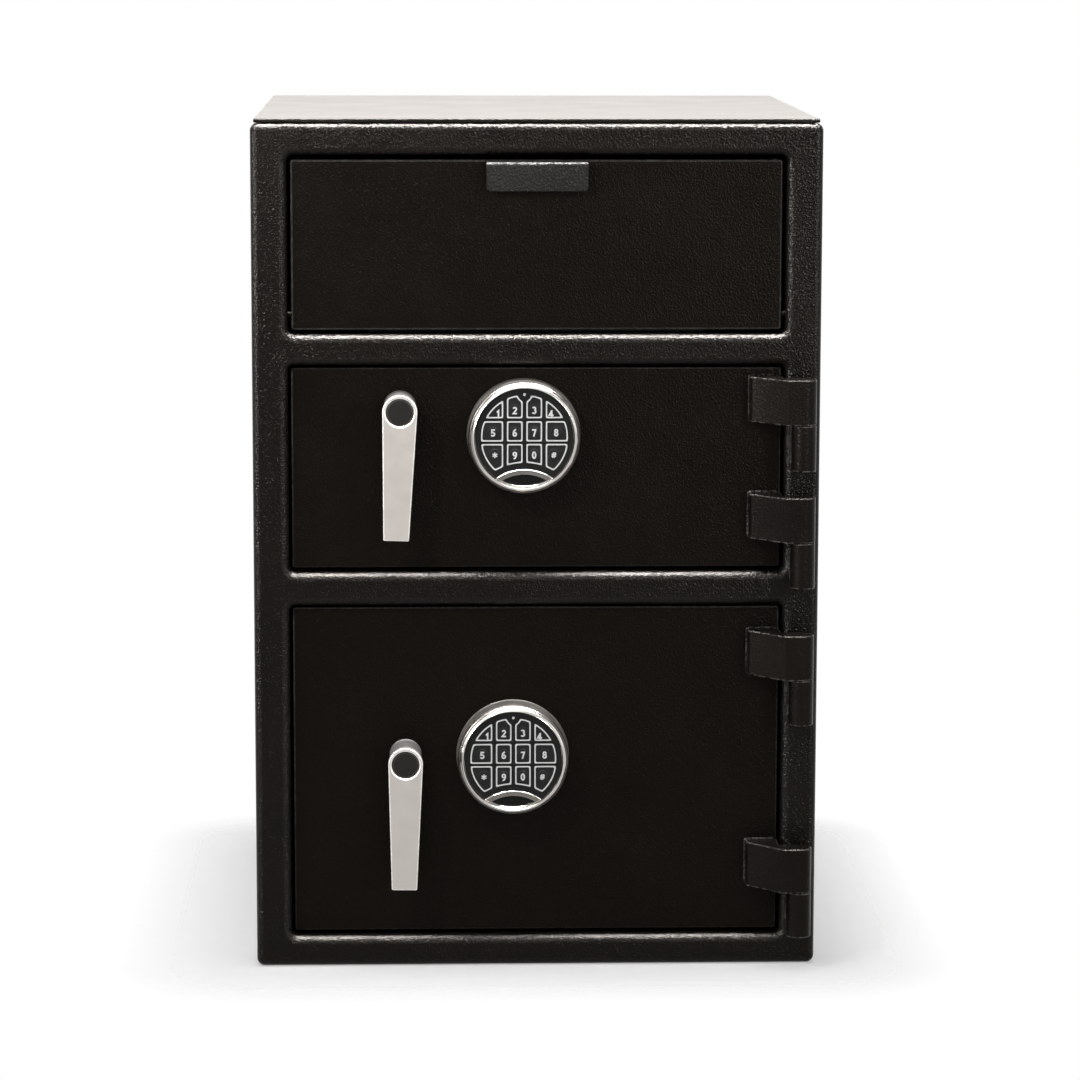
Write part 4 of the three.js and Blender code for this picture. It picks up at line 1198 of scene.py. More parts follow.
@dataclass
class Hopper:
    """Tilting face with its pull, its stub pins and the bucket behind it."""

    half: float = 218.9
    bottom: float = 580.0
    top: float = 731.5
    plate: float = 6.4
    edge: float = 1.5
    corner: float = 2.5
    pin_radius: float = 3.1
    pin_reach: float = 227.9
    pull_half: float = 45.0
    pull_height: float = 26.0
    pull_top: float = 730.5
    pull_front: float = -257.0
    pull_bend: float = 4.0
    pull_sheet: float = 3.0
    pull_corner: float = 3.5
    bucket_half: float = 213.9
    bucket_sheet: float = 2.5
    bucket_reach: float = 166.0
    slope: float = 30.0
    cheek_top: float = 138.7
    shoulder_reach: float = 19.8
    shoulder_rise: float = 4.0
    floor_gap: float = 0.3

    def face(self) -> Shape:
        """Flat face with rounded edges, and a pin at each side in the plate's own thickness.

        Returns:
            The shape.
        """
        plate = slab(rectangle(-self.half, self.half, self.bottom, self.top, self.corner), FACE,
                     FACE + self.plate, Plane.XZ, edge=self.edge, steps=5)
        height = plate.points[:, 2]
        # The face's top and bottom edges keep their full painted highlight, its side edges less
        plate = dimmed_outside_band(plate, (height < self.bottom + HIGHLIGHT_BAND) | (height > self.top - HIGHLIGHT_BAND))
        pins = rod(self.pin_radius, -self.pin_reach, self.pin_reach, (PIVOT_Y, PIVOT_Z), Plane.YZ)
        return joined(plate, pins)

    def pull(self) -> Shape:
        """Outer skin of a folded lip: a web, a quarter bend and an apron with rounded lower corners.

        The half width at a distance d above the apron's end is pull_half less what a quarter
        round of pull_corner takes there.

        Returns:
            The open skin.
        """
        bend = arc(self.pull_front + self.pull_bend, self.pull_top - self.pull_bend, self.pull_bend,
                   90, 180, 8)
        end = self.pull_top - self.pull_height
        drop = end + self.pull_corner * (1 - np.cos(np.radians(np.linspace(90, 0, 7))))
        apron = np.column_stack([np.full(len(drop), self.pull_front), drop])
        line = np.vstack([[[FACE - SEAM, self.pull_top]], bend, apron])
        above = np.clip(line[:, 1] - end, 0, self.pull_corner)
        taken = self.pull_corner - np.sqrt(self.pull_corner**2 - (self.pull_corner - above) ** 2)
        across = np.array([-1, -0.98, 0.98, 1])
        x = (self.pull_half - taken)[:, None] * across
        points = np.stack([x, *np.broadcast_arrays(line[:, :1], x)[:1],
                           np.broadcast_to(line[:, 1:], x.shape)], axis=-1).reshape(-1, 3)
        faces = list(band(len(line), len(across), around=False))
        return outward(Shape(points, faces, [0] * len(faces), np.full(len(points), 0.3)))

    def bucket(self) -> Shape:
        """Sloping floor between two cheeks, whose outline is two arcs about the pivot.

        Returns:
            The shape.
        """
        slope = math.radians(self.slope)
        start = self.plate / 2 + SEAM
        drop = self.bucket_sheet / math.cos(slope)
        end_angle = -self.slope + math.degrees(math.asin(start * math.sin(slope) / self.bucket_reach))
        end = self.bucket_reach * math.cos(math.radians(end_angle))
        open_angle = math.degrees(math.acos(self.shoulder_reach / (self.cheek_top + self.shoulder_rise)))
        stop = open_angle - HOPPER_TILT
        head = math.degrees(math.acos(start / self.cheek_top))
        floor_end = -(end - start) * math.tan(slope)
        cheek = np.vstack([
            [[start, -drop], [end, floor_end - drop]],
            arc(0, 0, self.bucket_reach, end_angle, stop, 40),
            arc(0, 0, self.cheek_top, stop, head, 30),
        ]) + PIVOT
        floor = np.array([[start, -drop], [end, floor_end - drop], [end, floor_end], [start, 0]]) + PIVOT
        inner, reach = self.bucket_half - self.bucket_sheet, self.bucket_half - self.floor_gap
        return joined(slab(cheek, -self.bucket_half, -inner, Plane.YZ, edge=0.4, steps=2),
                      slab(cheek, inner, self.bucket_half, Plane.YZ, edge=0.4, steps=2),
                      slab(floor, -reach, reach, Plane.YZ, edge=0.3, steps=2))

    def make(self) -> None:
        """Makes the hopper's pieces."""
        piece("hopper_front", self.face(), (Finishes.SMOOTH,), "hopper", "hopper_face")
        piece("hopper_grip", self.pull(), (Finishes.PULL,), "hopper", "hopper_pull",
              sheet=self.pull_sheet, soften=0.6)
        piece("hopper_tray", self.bucket(), (Finishes.INNER,), "hopper", "hopper_bucket")


# Doors


@dataclass
class Hinge:
    """Strap on the door and post on the frame, drawn from above with y from the door's face inwards."""

    axis_x: float = 237.0
    axis_y: float = -35.5
    barrel: float = 11.0
    height: float = 41.0
    pin: float = 6.0
    pin_length: float = 35.0
    bore: float = 6.3
    bore_depth: float = 36.5
    left: float = 191.0
    door_edge: float = 219.5
    end_thickness: float = 17.0
    end_round: float = 5.0
    shoulder: float = 2.5
    foot_half: float = 9.0
    foot_y: float = -12.3
    strap_bead: float = 1.5
    post_bead: float = 1.7

    def strap(self) -> Shape:
        """A solid wedge on the door that rises to its barrel, bored from below, with weld beads.

        Returns:
            The shape.
        """
        near, left = -SEAM, self.left
        front = self.axis_y - self.barrel
        outline = np.vstack([
            [[self.door_edge, near], [left, near]],
            arc(left + self.end_round, -self.end_thickness + self.end_round, self.end_round, 180, 250, 8),
            [[self.door_edge, front + self.shoulder], [self.door_edge + self.shoulder, front]],
            arc(self.axis_x, self.axis_y, self.barrel, -90, 90, 28),
            [[self.door_edge, self.axis_y + self.barrel]],
        ])
        rows = edge_rows(SEAM, self.height, 1.0, 4)
        bore = np.array([[0.6, SEAM, 1], [0, SEAM + 0.6, 1], [0, SEAM + 1.2, 0], [0, self.bore_depth, 0]])
        walls = [wall(outline, rows),
                 wall(circle(self.axis_x, self.axis_y, self.bore, 40), bore, hole=True, blind=True)]
        right, top, y = self.door_edge - 1.5, self.height - 0.2, -0.2
        path = np.array([[right, y, top], [left + 1, y, top], [left - 0.2, y, self.height - 1.2],
                         [left - 0.2, y, 1.4], [left + 1, y, SEAM + 0.2], [right, y, SEAM + 0.2]])
        return joined(built(walls, Plane.XY), bead(path, self.strap_bead, (0, -1, 0)))

    def post(self) -> Shape:
        """The frame's half: a round-nosed block below the junction, with the pin that carries the door.

        Returns:
            The shape.
        """
        outline = np.vstack([
            arc(self.axis_x, self.axis_y, self.barrel, -180, 0, 32),
            [[self.axis_x + self.foot_half, self.foot_y], [self.axis_x - self.foot_half, self.foot_y]],
        ])
        block = slab(outline, -self.height, 0, Plane.XY, edge=0.9, steps=4)
        profile = [(4.2, -1, 0), (self.pin, -0.8, 0), (self.pin, self.pin_length - 1.6, 0),
                   (self.pin, self.pin_length - 1.5, 1), (self.pin - 1.5, self.pin_length, 1),
                   (self.pin - 1.9, self.pin_length, 0)]
        pin = lathe(profile, (self.axis_x, self.axis_y), Plane.XY, 40, tones=[1] * 5)
        x, y = self.foot_half - 0.3, self.foot_y + 0.4
        beads = [bead(np.array([[self.axis_x + side * x, y, -self.height + 1],
                                [self.axis_x + side * x, y, -1]]), self.post_bead, (0, -1, 0))
                 for side in (-1, 1)]
        return joined(block, pin, *beads)


@dataclass
class Handle:
    """Hub, lever and spindle with its cap and cam, about the spindle's axis."""

    head: float = 15.5
    length: float = 114.5
    tip: float = 11.5
    tip_corner: float = 1.3
    front: float = -50.0
    back: float = -41.0
    edge: float = 0.8
    bore: float = 12.3
    bore_edge: float = 1.3
    cap: float = 12.0
    hub: float = 14.5
    shaft: float = 8.0
    shaft_bore: float = 8.3
    cam_front: float = 20.0
    cam_back: float = 28.0
    cam_hub: float = 11.0
    cam_end: float = 7.0
    cam_radius: float = 22.0
    cam_pin: float = 4.0
    cam_lean: float = -60.0
    pin_end: float = 35.5

    def lever(self) -> Shape:
        """A flat bar from a ring-shaped head to a square tip, with rounded edges that the finish paints near
        white as a painted highlight.

        Returns:
            The bar, hanging straight down.
        """
        taper = math.degrees(math.asin((self.head - self.tip) / self.length))
        steps = 4
        foot = rectangle(-self.tip, self.tip, -self.length, -self.length + 4, self.tip_corner, steps)
        lower_corners = foot[2 * (steps + 1):]
        outline = np.vstack([arc(0, 0, self.head, -taper, 180 + taper, 40), lower_corners])
        rows = edge_rows(self.front, self.back, self.edge, 4, hold=0.3)
        hole = edge_rows(self.front, self.back, self.bore_edge, 4, hold=0.2)
        walls = [wall(outline, rows), wall(circle(0, 0, self.bore, 64), hole, hole=True)]
        return built(walls, Plane.XZ)

    def hub_ring(self) -> Shape:
        """A turned sleeve with a collar at the door and a chamfer under the lever.

        Returns:
            The shape.
        """
        r, a, b = self.hub, -SEAM, self.back + SEAM
        profile = [(self.shaft_bore, a, 0), (r - 0.7, a, 0), (r, a - 0.7, 1), (r, a - 3.2, 1),
                   (r - 0.7, a - 3.9, 1), (r - 0.7, a - 4.6, 0), (r - 0.7, b + 4.6, 0), (r - 0.7, b + 4.2, 1),
                   (r, b + 3.6, 1), (r, b + 0.6, 1), (r - 0.6, b, 1), (r - 1.2, b, 0),
                   (self.shaft_bore, b, 0)]
        return lathe(profile, (0, 0), Plane.XZ, 72, closed=True)

    def spindle(self) -> Shape:
        """Cap with a fine turned groove, shaft, cam arm and cam pin.

        Returns:
            The shape.
        """
        r, front = self.cap, self.front
        profile = [(2.0, front + 1.0, 0), (9.0, front + 1.15, 0), (10.6, front + 1.3, 0),
                   (11.4, front + 1.45, 1), (11.85, front + 1.8, 1), (r, front + 2.3, 1),
                   (r, front + 2.8, 0), (r, self.back, 0), (r - 0.5, self.back, 0)]
        cap = lathe(profile, (0, 0), Plane.XZ, 72)
        shaft = rod(self.shaft, self.back - 1, self.cam_back, (0, 0), Plane.XZ, 0.4, tone=1)
        lean = self.cam_lean
        at = (self.cam_radius * math.cos(math.radians(lean)), self.cam_radius * math.sin(math.radians(lean)))
        spread = math.degrees(math.acos((self.cam_hub - self.cam_end) / self.cam_radius))
        outline = np.vstack([arc(0, 0, self.cam_hub, lean + spread, lean + 360 - spread, 40),
                             arc(*at, self.cam_end, lean - spread, lean + spread, 24)])
        arm = slab(outline, self.cam_front, self.cam_back, Plane.XZ, edge=0.6, tone=1, edge_tone=1)
        pin = rod(self.cam_pin, self.cam_back - 1, self.pin_end, at, Plane.XZ, 0.4, 32, tone=1)
        return joined(cap, shaft, arm, pin)


@dataclass
class Keypad:
    """Round keypad: turned housing, badge plate, key panel and twelve keys, about its own centre."""

    steps: int = 128
    radius: float = 51.0
    inner: float = 44.3
    panel_front: float = 27.5
    panel_back: float = 20.5
    panel_radius: float = 44.0
    seat: float = 20.2
    cusp_radius: float = 45.0
    cusp_centre: float = -72.8
    badge_half: float = 19.0
    badge_rise: float = 4.9
    badge_fall: float = 4.5
    badge_z: float = -37.6
    badge_front: float = 28.5
    badge_radius: float = 44.1
    lip: float = 1.2
    lens_steps: int = 28
    round_field: float = 39.3
    foot: float = 50.6
    notch: float = 5.5
    notch_z: float = 39.0
    key_front: float = 28.3
    key_back: float = 24.5
    pocket: float = 23.4
    rays: int = 144
    grid: int = 60
    ray_length: float = 32.0
    ray_samples: int = 1600
    well_inside: float = -0.5
    softness: float = 0.3
    print_softness: float = 0.55
    print_margins: tuple[float, float] = (0.25, 1.5)
    columns: tuple[tuple[float, float], ...] = ((-39.3, -18.7), (-15.9, -1.4), (1.4, 15.9), (18.7, 39.3))
    rows: tuple[tuple[float, float], ...] = ((17.8, 39.3), (-3.0, 15.7), (-39.3, -4.7))
    labels: dict[str, tuple[str, float, float]] = field(default_factory=lambda: {
        "1": ("1", -23.4, 22.0), "2": ("2", -8.6, 25.0), "3": ("3", 8.6, 25.2), "4": ("4", 23.6, 22.0),
        "5": ("5", -28.0, 5.0), "6": ("6", -8.6, 5.0), "7": ("7", 8.6, 5.0), "8": ("8", 28.2, 5.2),
        "star": ("*", -26.4, -15.0), "9": ("9", -8.6, -15.2), "0": ("0", 8.6, -15.0),
        "hash": ("#", 26.2, -15.0)})
    digit_height: float = 6.7
    sign_height: float = 4.958
    digit_weight: float = 0.21
    dome: float = 5.2
    flat_keys: tuple[str, ...] = ("1", "4")

    def housing(self) -> Shape:
        """Turned body: flange, tapered side, a rounded crest and the recess for plate and panel.

        Returns:
            The shape.
        """
        side = [(40, SEAM, 0), (50.1, SEAM, 0), (self.radius, 1.2, 1), (self.radius, 3.2, 1), (50.5, 3.9, 1),
                (50.4, 4.6, 0), (50.0, 22.6, 0), (49.9, 23.4, 1), (49.2, 23.9, 0), (49.2, 24.5, 0)]
        shoulder = [(50.1, 24.9, 1), (50.1, 25.5, 1), (49.7, 26.6, 0), (48.9, 27.5, 0), (48.4, 27.8, 1),
                    (48.2, 27.6, 0), (48.0, 27.6, 0)]
        crest = [(47.95, 27.9, 1), (47.5, 28.4, 1), (46.8, 29.0, 1), (46.1, 29.5, 1), (45.5, 29.85, 1),
                 (45.25, 29.95, 1), (45.0, 29.9, 1), (44.75, 29.6, 1), (self.inner, 28.9, 1),
                 (self.inner, 28.6, 0), (self.inner, self.seat + 0.3, 0), (self.inner, self.seat, 0),
                 (self.inner - 1, self.seat, 0)]
        rows = [*side, *shoulder, *crest]
        profile = [(r, -a, w) for r, a, w in rows]
        # Side rows take the shaded side finish and shoulder rows the shaded shoulder finish: painted shade on
        # one metal
        tones = [1] * (len(side) - 1) + [2] * (len(shoulder) + 2) + [0] * (len(crest) - 2)
        return lathe(profile, (0, 0), Plane.XZ, self.steps, tones=tones)

    def cusp(self, disc: float, grow: float, upper: bool) -> np.ndarray:
        """Outline between a disc and the circle below the keys.

        Args:
            disc: radius of the disc.
            grow: how much wider the lower circle is taken.
            upper: whether the part above the circle is wanted, or the part in it.

        Returns:
            The outline, counter-clockwise.
        """
        low = self.cusp_radius + grow
        z = (disc**2 - low**2 + self.cusp_centre**2) / (2 * self.cusp_centre)
        x = math.sqrt(disc**2 - z**2)
        inner = math.degrees(math.atan2(z - self.cusp_centre, x))
        outer = math.degrees(math.atan2(z, x))
        curve = arc(0, self.cusp_centre, low, inner, 180 - inner, 48)
        if upper:
            return np.vstack([arc(0, 0, disc, outer, 180 - outer, 110)[:-1], curve[::-1][:-1]])
        return np.vstack([curve[:-1], arc(0, 0, disc, 180 - outer, 360 + outer, 48)[:-1]])

    def lens(self, half: float, rise_up: float, rise_down: float) -> np.ndarray:
        """A pointed oval: two arcs, each through both points and its own rise above or below.

        Args:
            half: half the length.
            rise_up: height of the upper arc.
            rise_down: depth of the lower arc.

        Returns:
            The outline about the badge's middle, counter-clockwise.
        """
        halves = []
        for rise, sign in ((rise_up, 1), (rise_down, -1)):
            radius = (half**2 + rise**2) / (2 * rise)
            sweep = math.degrees(math.asin(half / radius))
            line = arc(0, -sign * (radius - rise), radius, sign * 90 - sweep, sign * 90 + sweep,
                       self.lens_steps)
            halves.append(line[:-1])
        return np.vstack(halves) + np.array([0, self.badge_z])

    def badge_plate(self) -> Shape:
        """Plate below the cusp, with polished edge and a bare oval recess that has a sloping lower lip.

        Returns:
            The shape.
        """
        front = -self.badge_front
        rows = edge_rows(front, -self.seat + 0.2, 0.8, 4, hold=0.2)
        mouth = self.lens(self.badge_half + 0.5, self.badge_rise + 0.3, self.badge_fall + self.lip)
        floor = self.lens(self.badge_half, self.badge_rise, self.badge_fall)
        share = np.array([-0.06, 0.0, 0.08, 0.94, 1.0, 1.0])
        depth = front + np.array([0.0, 0.0, 0.08, 1.55, 1.7, 1.8])
        rings = mouth + share[:, None, None] * (floor - mouth)
        recess = Wall(rings, depth, np.array([0.0, 1, 1, 1, 1, 0]), True, True, 1, 2)
        outer = wall(self.cusp(self.badge_radius, 0, False), rows, edge_tone=1)
        return built([outer, recess], Plane.XZ)

    def cell(self, row: int, column: int, margin: float, softness: float) -> np.ndarray:
        """Outline of a key, found along rays from its middle.

        The signed distances from the cell's four sides, the round field, the curved foot and the
        notch are joined by a smooth maximum, k * log(sum(exp(d / k))), which rounds the corners,
        and each ray ends where that passes -margin.

        Args:
            row: row of the key.
            column: its column.
            margin: how far the outline lies inside the cell.
            softness: k.

        Returns:
            The outline, counter-clockwise.
        """
        (x0, x1), (z0, z1) = self.columns[column], self.rows[row]

        def distance(x: np.ndarray, z: np.ndarray) -> np.ndarray:
            """Smooth maximum of the signed distances from the key's borders.

            Args:
                x: places across the keypad.
                z: heights.

            Returns:
                The distance at each point, below 0 inside.
            """
            parts = np.stack([x0 - x, x - x1, z0 - z, z - z1, np.hypot(x, z) - self.round_field,
                              self.foot - np.hypot(x, z - self.cusp_centre),
                              self.notch - np.hypot(x, z - self.notch_z)]) / softness
            top = parts.max(0)
            return softness * (top + np.log(np.exp(parts - top).sum(0)))

        gx, gz = np.meshgrid(np.linspace(x0, x1, self.grid), np.linspace(z0, z1, self.grid))
        inside = distance(gx, gz) < self.well_inside
        middle = np.array([gx[inside].mean(), gz[inside].mean()])
        turn = np.radians(np.arange(self.rays) * 360 / self.rays)
        ray = np.column_stack([np.cos(turn), np.sin(turn)])
        reach = np.linspace(0, self.ray_length, self.ray_samples)
        x, z = middle[0] + ray[:, :1] * reach, middle[1] + ray[:, 1:] * reach
        beyond = distance(x, z) + margin
        stop = np.argmax(beyond > 0, axis=1)
        line = np.arange(self.rays)
        before, after = beyond[line, stop - 1], beyond[line, stop]
        length = reach[stop - 1] + (reach[1] - reach[0]) * before / (before - after)
        return middle + ray * length[:, None]

    def panel(self) -> Shape:
        """Black panel with a pocket for each key, a lamp dot and small studs where the gaps cross.

        Returns:
            The shape.
        """
        rows = edge_rows(-self.panel_front, -self.panel_back, 0.4, 2)
        walls = [wall(self.cusp(self.panel_radius, 0.3, True), rows)]
        for row in range(len(self.rows)):
            for column in range(len(self.columns)):
                rings = np.stack([self.cell(row, column, margin, self.softness)
                                  for margin in (-0.3, 0.0, 0.0)])
                depth = np.array([-self.panel_front, -self.panel_front + 0.3, -self.pocket])
                walls.append(Wall(rings, depth, np.array([0.5, 0.5, 0]), True, True))
        sheet = built(walls, Plane.XZ)
        front = -self.panel_front
        studs = [lathe([(0.9, front + 0.2), (0.9, front - 0.1), (0.65, front - 0.3), (0.3, front - 0.36)],
                       (x, z), Plane.XZ, 14) for x in (-17.3, 0, 17.3) for z in (16.75, -3.85)]
        lamp = lathe([(1.2, front + 0.3), (1.2, front - 0.1), (0.9, front - 0.4), (0.4, front - 0.52)],
                     (0, self.notch_z), Plane.XZ, 20, tones=[1] * 3)
        return joined(sheet, *studs, lamp)

    def key(self, name: str, row: int, column: int) -> Shape:
        """Rubber key with a printed outline, a low dome and its character.

        Args:
            name: name of the key.
            row: its row.
            column: its column.

        Returns:
            The shape.
        """
        front = -self.key_front
        margins = (0.95, 0.62, 0.42, 0.3, 0.3, 0.6)
        back = -self.key_back
        depth = np.array([front, front, front + 0.12, front + 0.35, back - 0.3, back])
        rings = np.stack([self.cell(row, column, margin, self.softness) for margin in margins])
        # The key's rounded rim carries the edge mark, which paints it lighter: painted highlight
        body = built([Wall(rings, depth, np.array([0.0, 0.6, 1, 0.6, 0, 0]))], Plane.XZ)
        high = np.array([front - 0.05, front + 0.03])
        lines = [Wall(np.stack([self.cell(row, column, margin, self.print_softness)] * 2), high,
                      np.zeros(2), hole) for margin, hole in zip(self.print_margins, (False, True))]
        outline = built(lines, Plane.XZ, tone=PRINT_TONE)
        text, x, z = self.labels[name]
        pieces = [body, outline]
        top = front
        if name not in self.flat_keys:
            r = self.dome
            # The dome's rim rows carry the edge mark, which paints them lighter: painted highlight of the
            # dome's arc
            profile = [(r, front + 0.2, 0), (r, front - 0.12, 1), (r - 0.12, front - 0.3, 1),
                       (r - 0.4, front - 0.38, 0.5), (r - 1.2, front - 0.42, 0), (1.0, front - 0.46, 0),
                       (0.4, front - 0.46, 0)]
            pieces.append(lathe(profile, (x, z + 0.5), Plane.XZ, 48))
            top = front - 0.46
        height = self.sign_height if name in ("star", "hash") else self.digit_height
        pieces.append(lettering(text, height, x, z, top - 0.07, self.digit_weight))
        return joined(*pieces)


KEY_PLACES = {label: divmod(number, 4) for number, label in
              enumerate(("1", "2", "3", "4", "5", "6", "7", "8", "star", "9", "0", "hash"))}


@dataclass
class Door:
    """One door with its hinges, handle, bolt work, lock and keypad, drawn with y behind its face."""

    name: str
    handle_x: float
    handle_drop: float
    lean: float
    keypad_x: float
    keypad_drop: float
    hinge_junctions: tuple[float, float]
    bolt_heights: tuple[float, ...]
    half: float = 219.5
    thickness: float = 12.7
    end_gap: float = 3.1
    corner: float = 2.2
    throw: float = 22.0
    stud_inset: float = 40.0
    stud_foot: float = 5.0
    stud_head: float = 9.0
    stud_collar: float = 36.0
    stud_slot: float = 5.5
    guide: tuple[float, float] = (-201.5, -195.5)
    guide_inset: float = 14.0
    guide_end: float = 51.7
    guide_bore: float = 11.3
    bar_near: float = 195.5
    bar_foot: float = 205.5
    bar_end: float = 232.0
    bar_depth: tuple[float, float] = (25.0, 35.0)
    bar_inset: float = 20.0
    bead_radius: float = 2.2
    bead_pitch: float = 3.2
    bead_ends: tuple[float, float] = (24.0, 64.0)
    carriage_left: float = -165.5
    carriage_inset: float = 22.0
    carriage_half: float = 2.5
    keypad_reach: float = 45.0
    cam_slot: float = 4.5
    bolt_radius: float = 11.0
    bolt_y: float = 33.0
    bolt_tip: float = -215.0
    bolt_end: float = -161.5
    lock_half: tuple[float, float] = (41.0, 30.0)
    lock_depth: float = 26.0
    pocket_ends: tuple[float, float] = (-43.0, -11.0)
    pocket_half: float = 10.3
    pocket_depth: tuple[float, float] = (28.2, 37.8)
    screw_place: tuple[float, float] = (32.0, 21.0)
    screw_head: float = 3.5
    screw_socket: float = 1.7
    hinge: Hinge = field(default_factory=Hinge)
    handle: Handle = field(default_factory=Handle)
    keypad: Keypad = field(default_factory=Keypad)

    @property
    def bottom(self) -> float:
        """Height of the door's lower edge."""
        return OPENINGS[self.name][0] + self.end_gap

    @property
    def height(self) -> float:
        """Height of the door."""
        low, high = OPENINGS[self.name]
        return high - low - 2 * self.end_gap

    @property
    def stud_x(self) -> float:
        """Place of the shoulder studs."""
        return self.handle_x + self.throw

    @property
    def stud_heights(self) -> tuple[float, float]:
        """Heights of the shoulder studs over the door's lower edge."""
        return self.stud_inset, self.height - self.stud_inset

    def plate(self) -> Shape:
        """Door plate with what is welded to its back: bolt guide, shoulder studs and dead bar.

        Returns:
            The shape.
        """
        h, t = self.height, self.thickness
        spindle = circle(self.handle_x, h - self.handle_drop, self.handle.shaft_bore, 40)
        plate = slab(rectangle(-self.half, self.half, 0, h, self.corner), 0, t, Plane.XZ, edge=1.2,
                     steps=5, holes=(spindle,))
        # The door's top edge keeps its full painted highlight, its other edges less
        plate = dimmed_outside_band(plate, plate.points[:, 2] > h - HIGHLIGHT_BAND)
        bores = tuple(circle(self.bolt_y, z, self.guide_bore) for z in self.bolt_heights)
        outline = rectangle(t - 0.5, self.guide_end, self.guide_inset, h - self.guide_inset, 1.5)
        guide = slab(outline, *self.guide, Plane.YZ, edge=0.5, holes=bores)
        r, head, y = self.stud_foot, self.stud_head, self.stud_collar
        profile = [(r - 0.6, t - 0.5), (r, t - 0.4), (r, y - 0.2), (r, y), (head - 0.6, y, 1),
                   (head, y + 0.6, 1), (head, y + 3.0, 1), (head - 0.8, y + 3.8, 1), (head - 1.4, y + 3.8)]
        studs = [lathe(profile, (self.stud_x, z), Plane.XZ, 40, tones=[1] * 8) for z in self.stud_heights]
        low, high = self.bar_inset, h - self.bar_inset
        front, back = self.bar_depth
        foot = slab(rectangle(self.bar_near, self.bar_foot, low, high, 1.5), t - 0.5, front + 1, Plane.XZ,
                    edge=0.5)
        bar = slab(rectangle(self.bar_near, self.bar_end, low, high, 3), front, back, Plane.XZ, edge=1.0)
        beside = (self.guide[0] - 0.5, self.guide[1] + 0.5, self.bar_near - 0.5, self.bar_foot + 0.5)
        a, b = self.bead_ends
        beads = [bead(np.array([[x, t, z0], [x, t, z1]]), self.bead_radius, (0, 1, 0), self.bead_pitch)
                 for x in beside for z0, z1 in ((a, b), (h - b, h - a))]
        return joined(plate, guide, *studs, foot, bar, *beads)

    def carriage(self) -> Shape:
        """Slotted plate with the locking bolts welded on its edge.

        Returns:
            The shape.
        """
        h, y = self.height, self.bolt_y
        right = self.keypad_x - self.keypad_reach
        arm = self.handle.cam_radius
        cam_x, handle_z = self.handle_x + arm / 2, h - self.handle_drop
        slots = [slot(cam_x, handle_z - arm, cam_x, handle_z - arm * math.cos(math.radians(30)),
                      self.cam_slot)]
        slots += [slot(self.stud_x, z, self.stud_x + self.throw, z, self.stud_slot)
                  for z in self.stud_heights]
        outline = rectangle(self.carriage_left, right, self.carriage_inset, h - self.carriage_inset, 4)
        plate = slab(outline, y - self.carriage_half, y + self.carriage_half, Plane.XZ, edge=0.5,
                     holes=tuple(slots))
        bolts = []
        for z in self.bolt_heights:
            r, tip, end = self.bolt_radius, self.bolt_tip, self.bolt_end
            profile = [(r - 2.6, tip, 0), (r - 2, tip, 1), (r - 0.25, tip + 1.75, 1), (r, tip + 2.3, 1),
                       (r, tip + 3, 0), (r, end - 1.1, 0), (r, end - 0.5, 1), (r - 0.5, end, 1),
                       (r - 1, end, 0)]
            bolts.append(lathe(profile, (y, z), Plane.YZ, 56))
            for side in (-1, 1):
                beside, lift = self.carriage_left - 0.3, y + side * (self.carriage_half + 0.1)
                path = np.array([[beside, lift, z - 10.5], [beside, lift, z + 10.5]])
                bolts.append(bead(path, 1.6, (0, side, 0)))
        return joined(plate, *bolts)

    def lock(self) -> Shape:
        """Cast lock case with its cover and four socket screws.

        Returns:
            The shape, about the keypad's centre.
        """
        near = self.thickness + SEAM
        far = near + self.lock_depth
        x, z = self.lock_half
        case = slab(rectangle(-x, x, -z, z, 5), near, far, Plane.XZ, edge=1.2, steps=4)
        cover = slab(rectangle(3 - x, x - 3, 3 - z, z - 3, 4), far - 0.5, far + 0.8, Plane.XZ, edge=0.5)
        head = np.array([[0.9, far + 2, 0], [0.5, far + 2, 1], [0, far + 1.5, 1], [0, far, 0]])
        socket = np.array([[0.1, far + 2, 1], [0, far + 1.9, 1], [0, far + 0.9, 0]])
        screws = []
        for x, z in np.array([(-1, -1), (-1, 1), (1, -1), (1, 1)]) * self.screw_place:
            walls = [wall(circle(x, z, self.screw_head, 32), head),
                     wall(circle(x, z, self.screw_socket, 6), socket, hole=True, blind=True)]
            screws.append(built(walls, Plane.XZ, tone=1))
        return joined(case, cover, *screws)

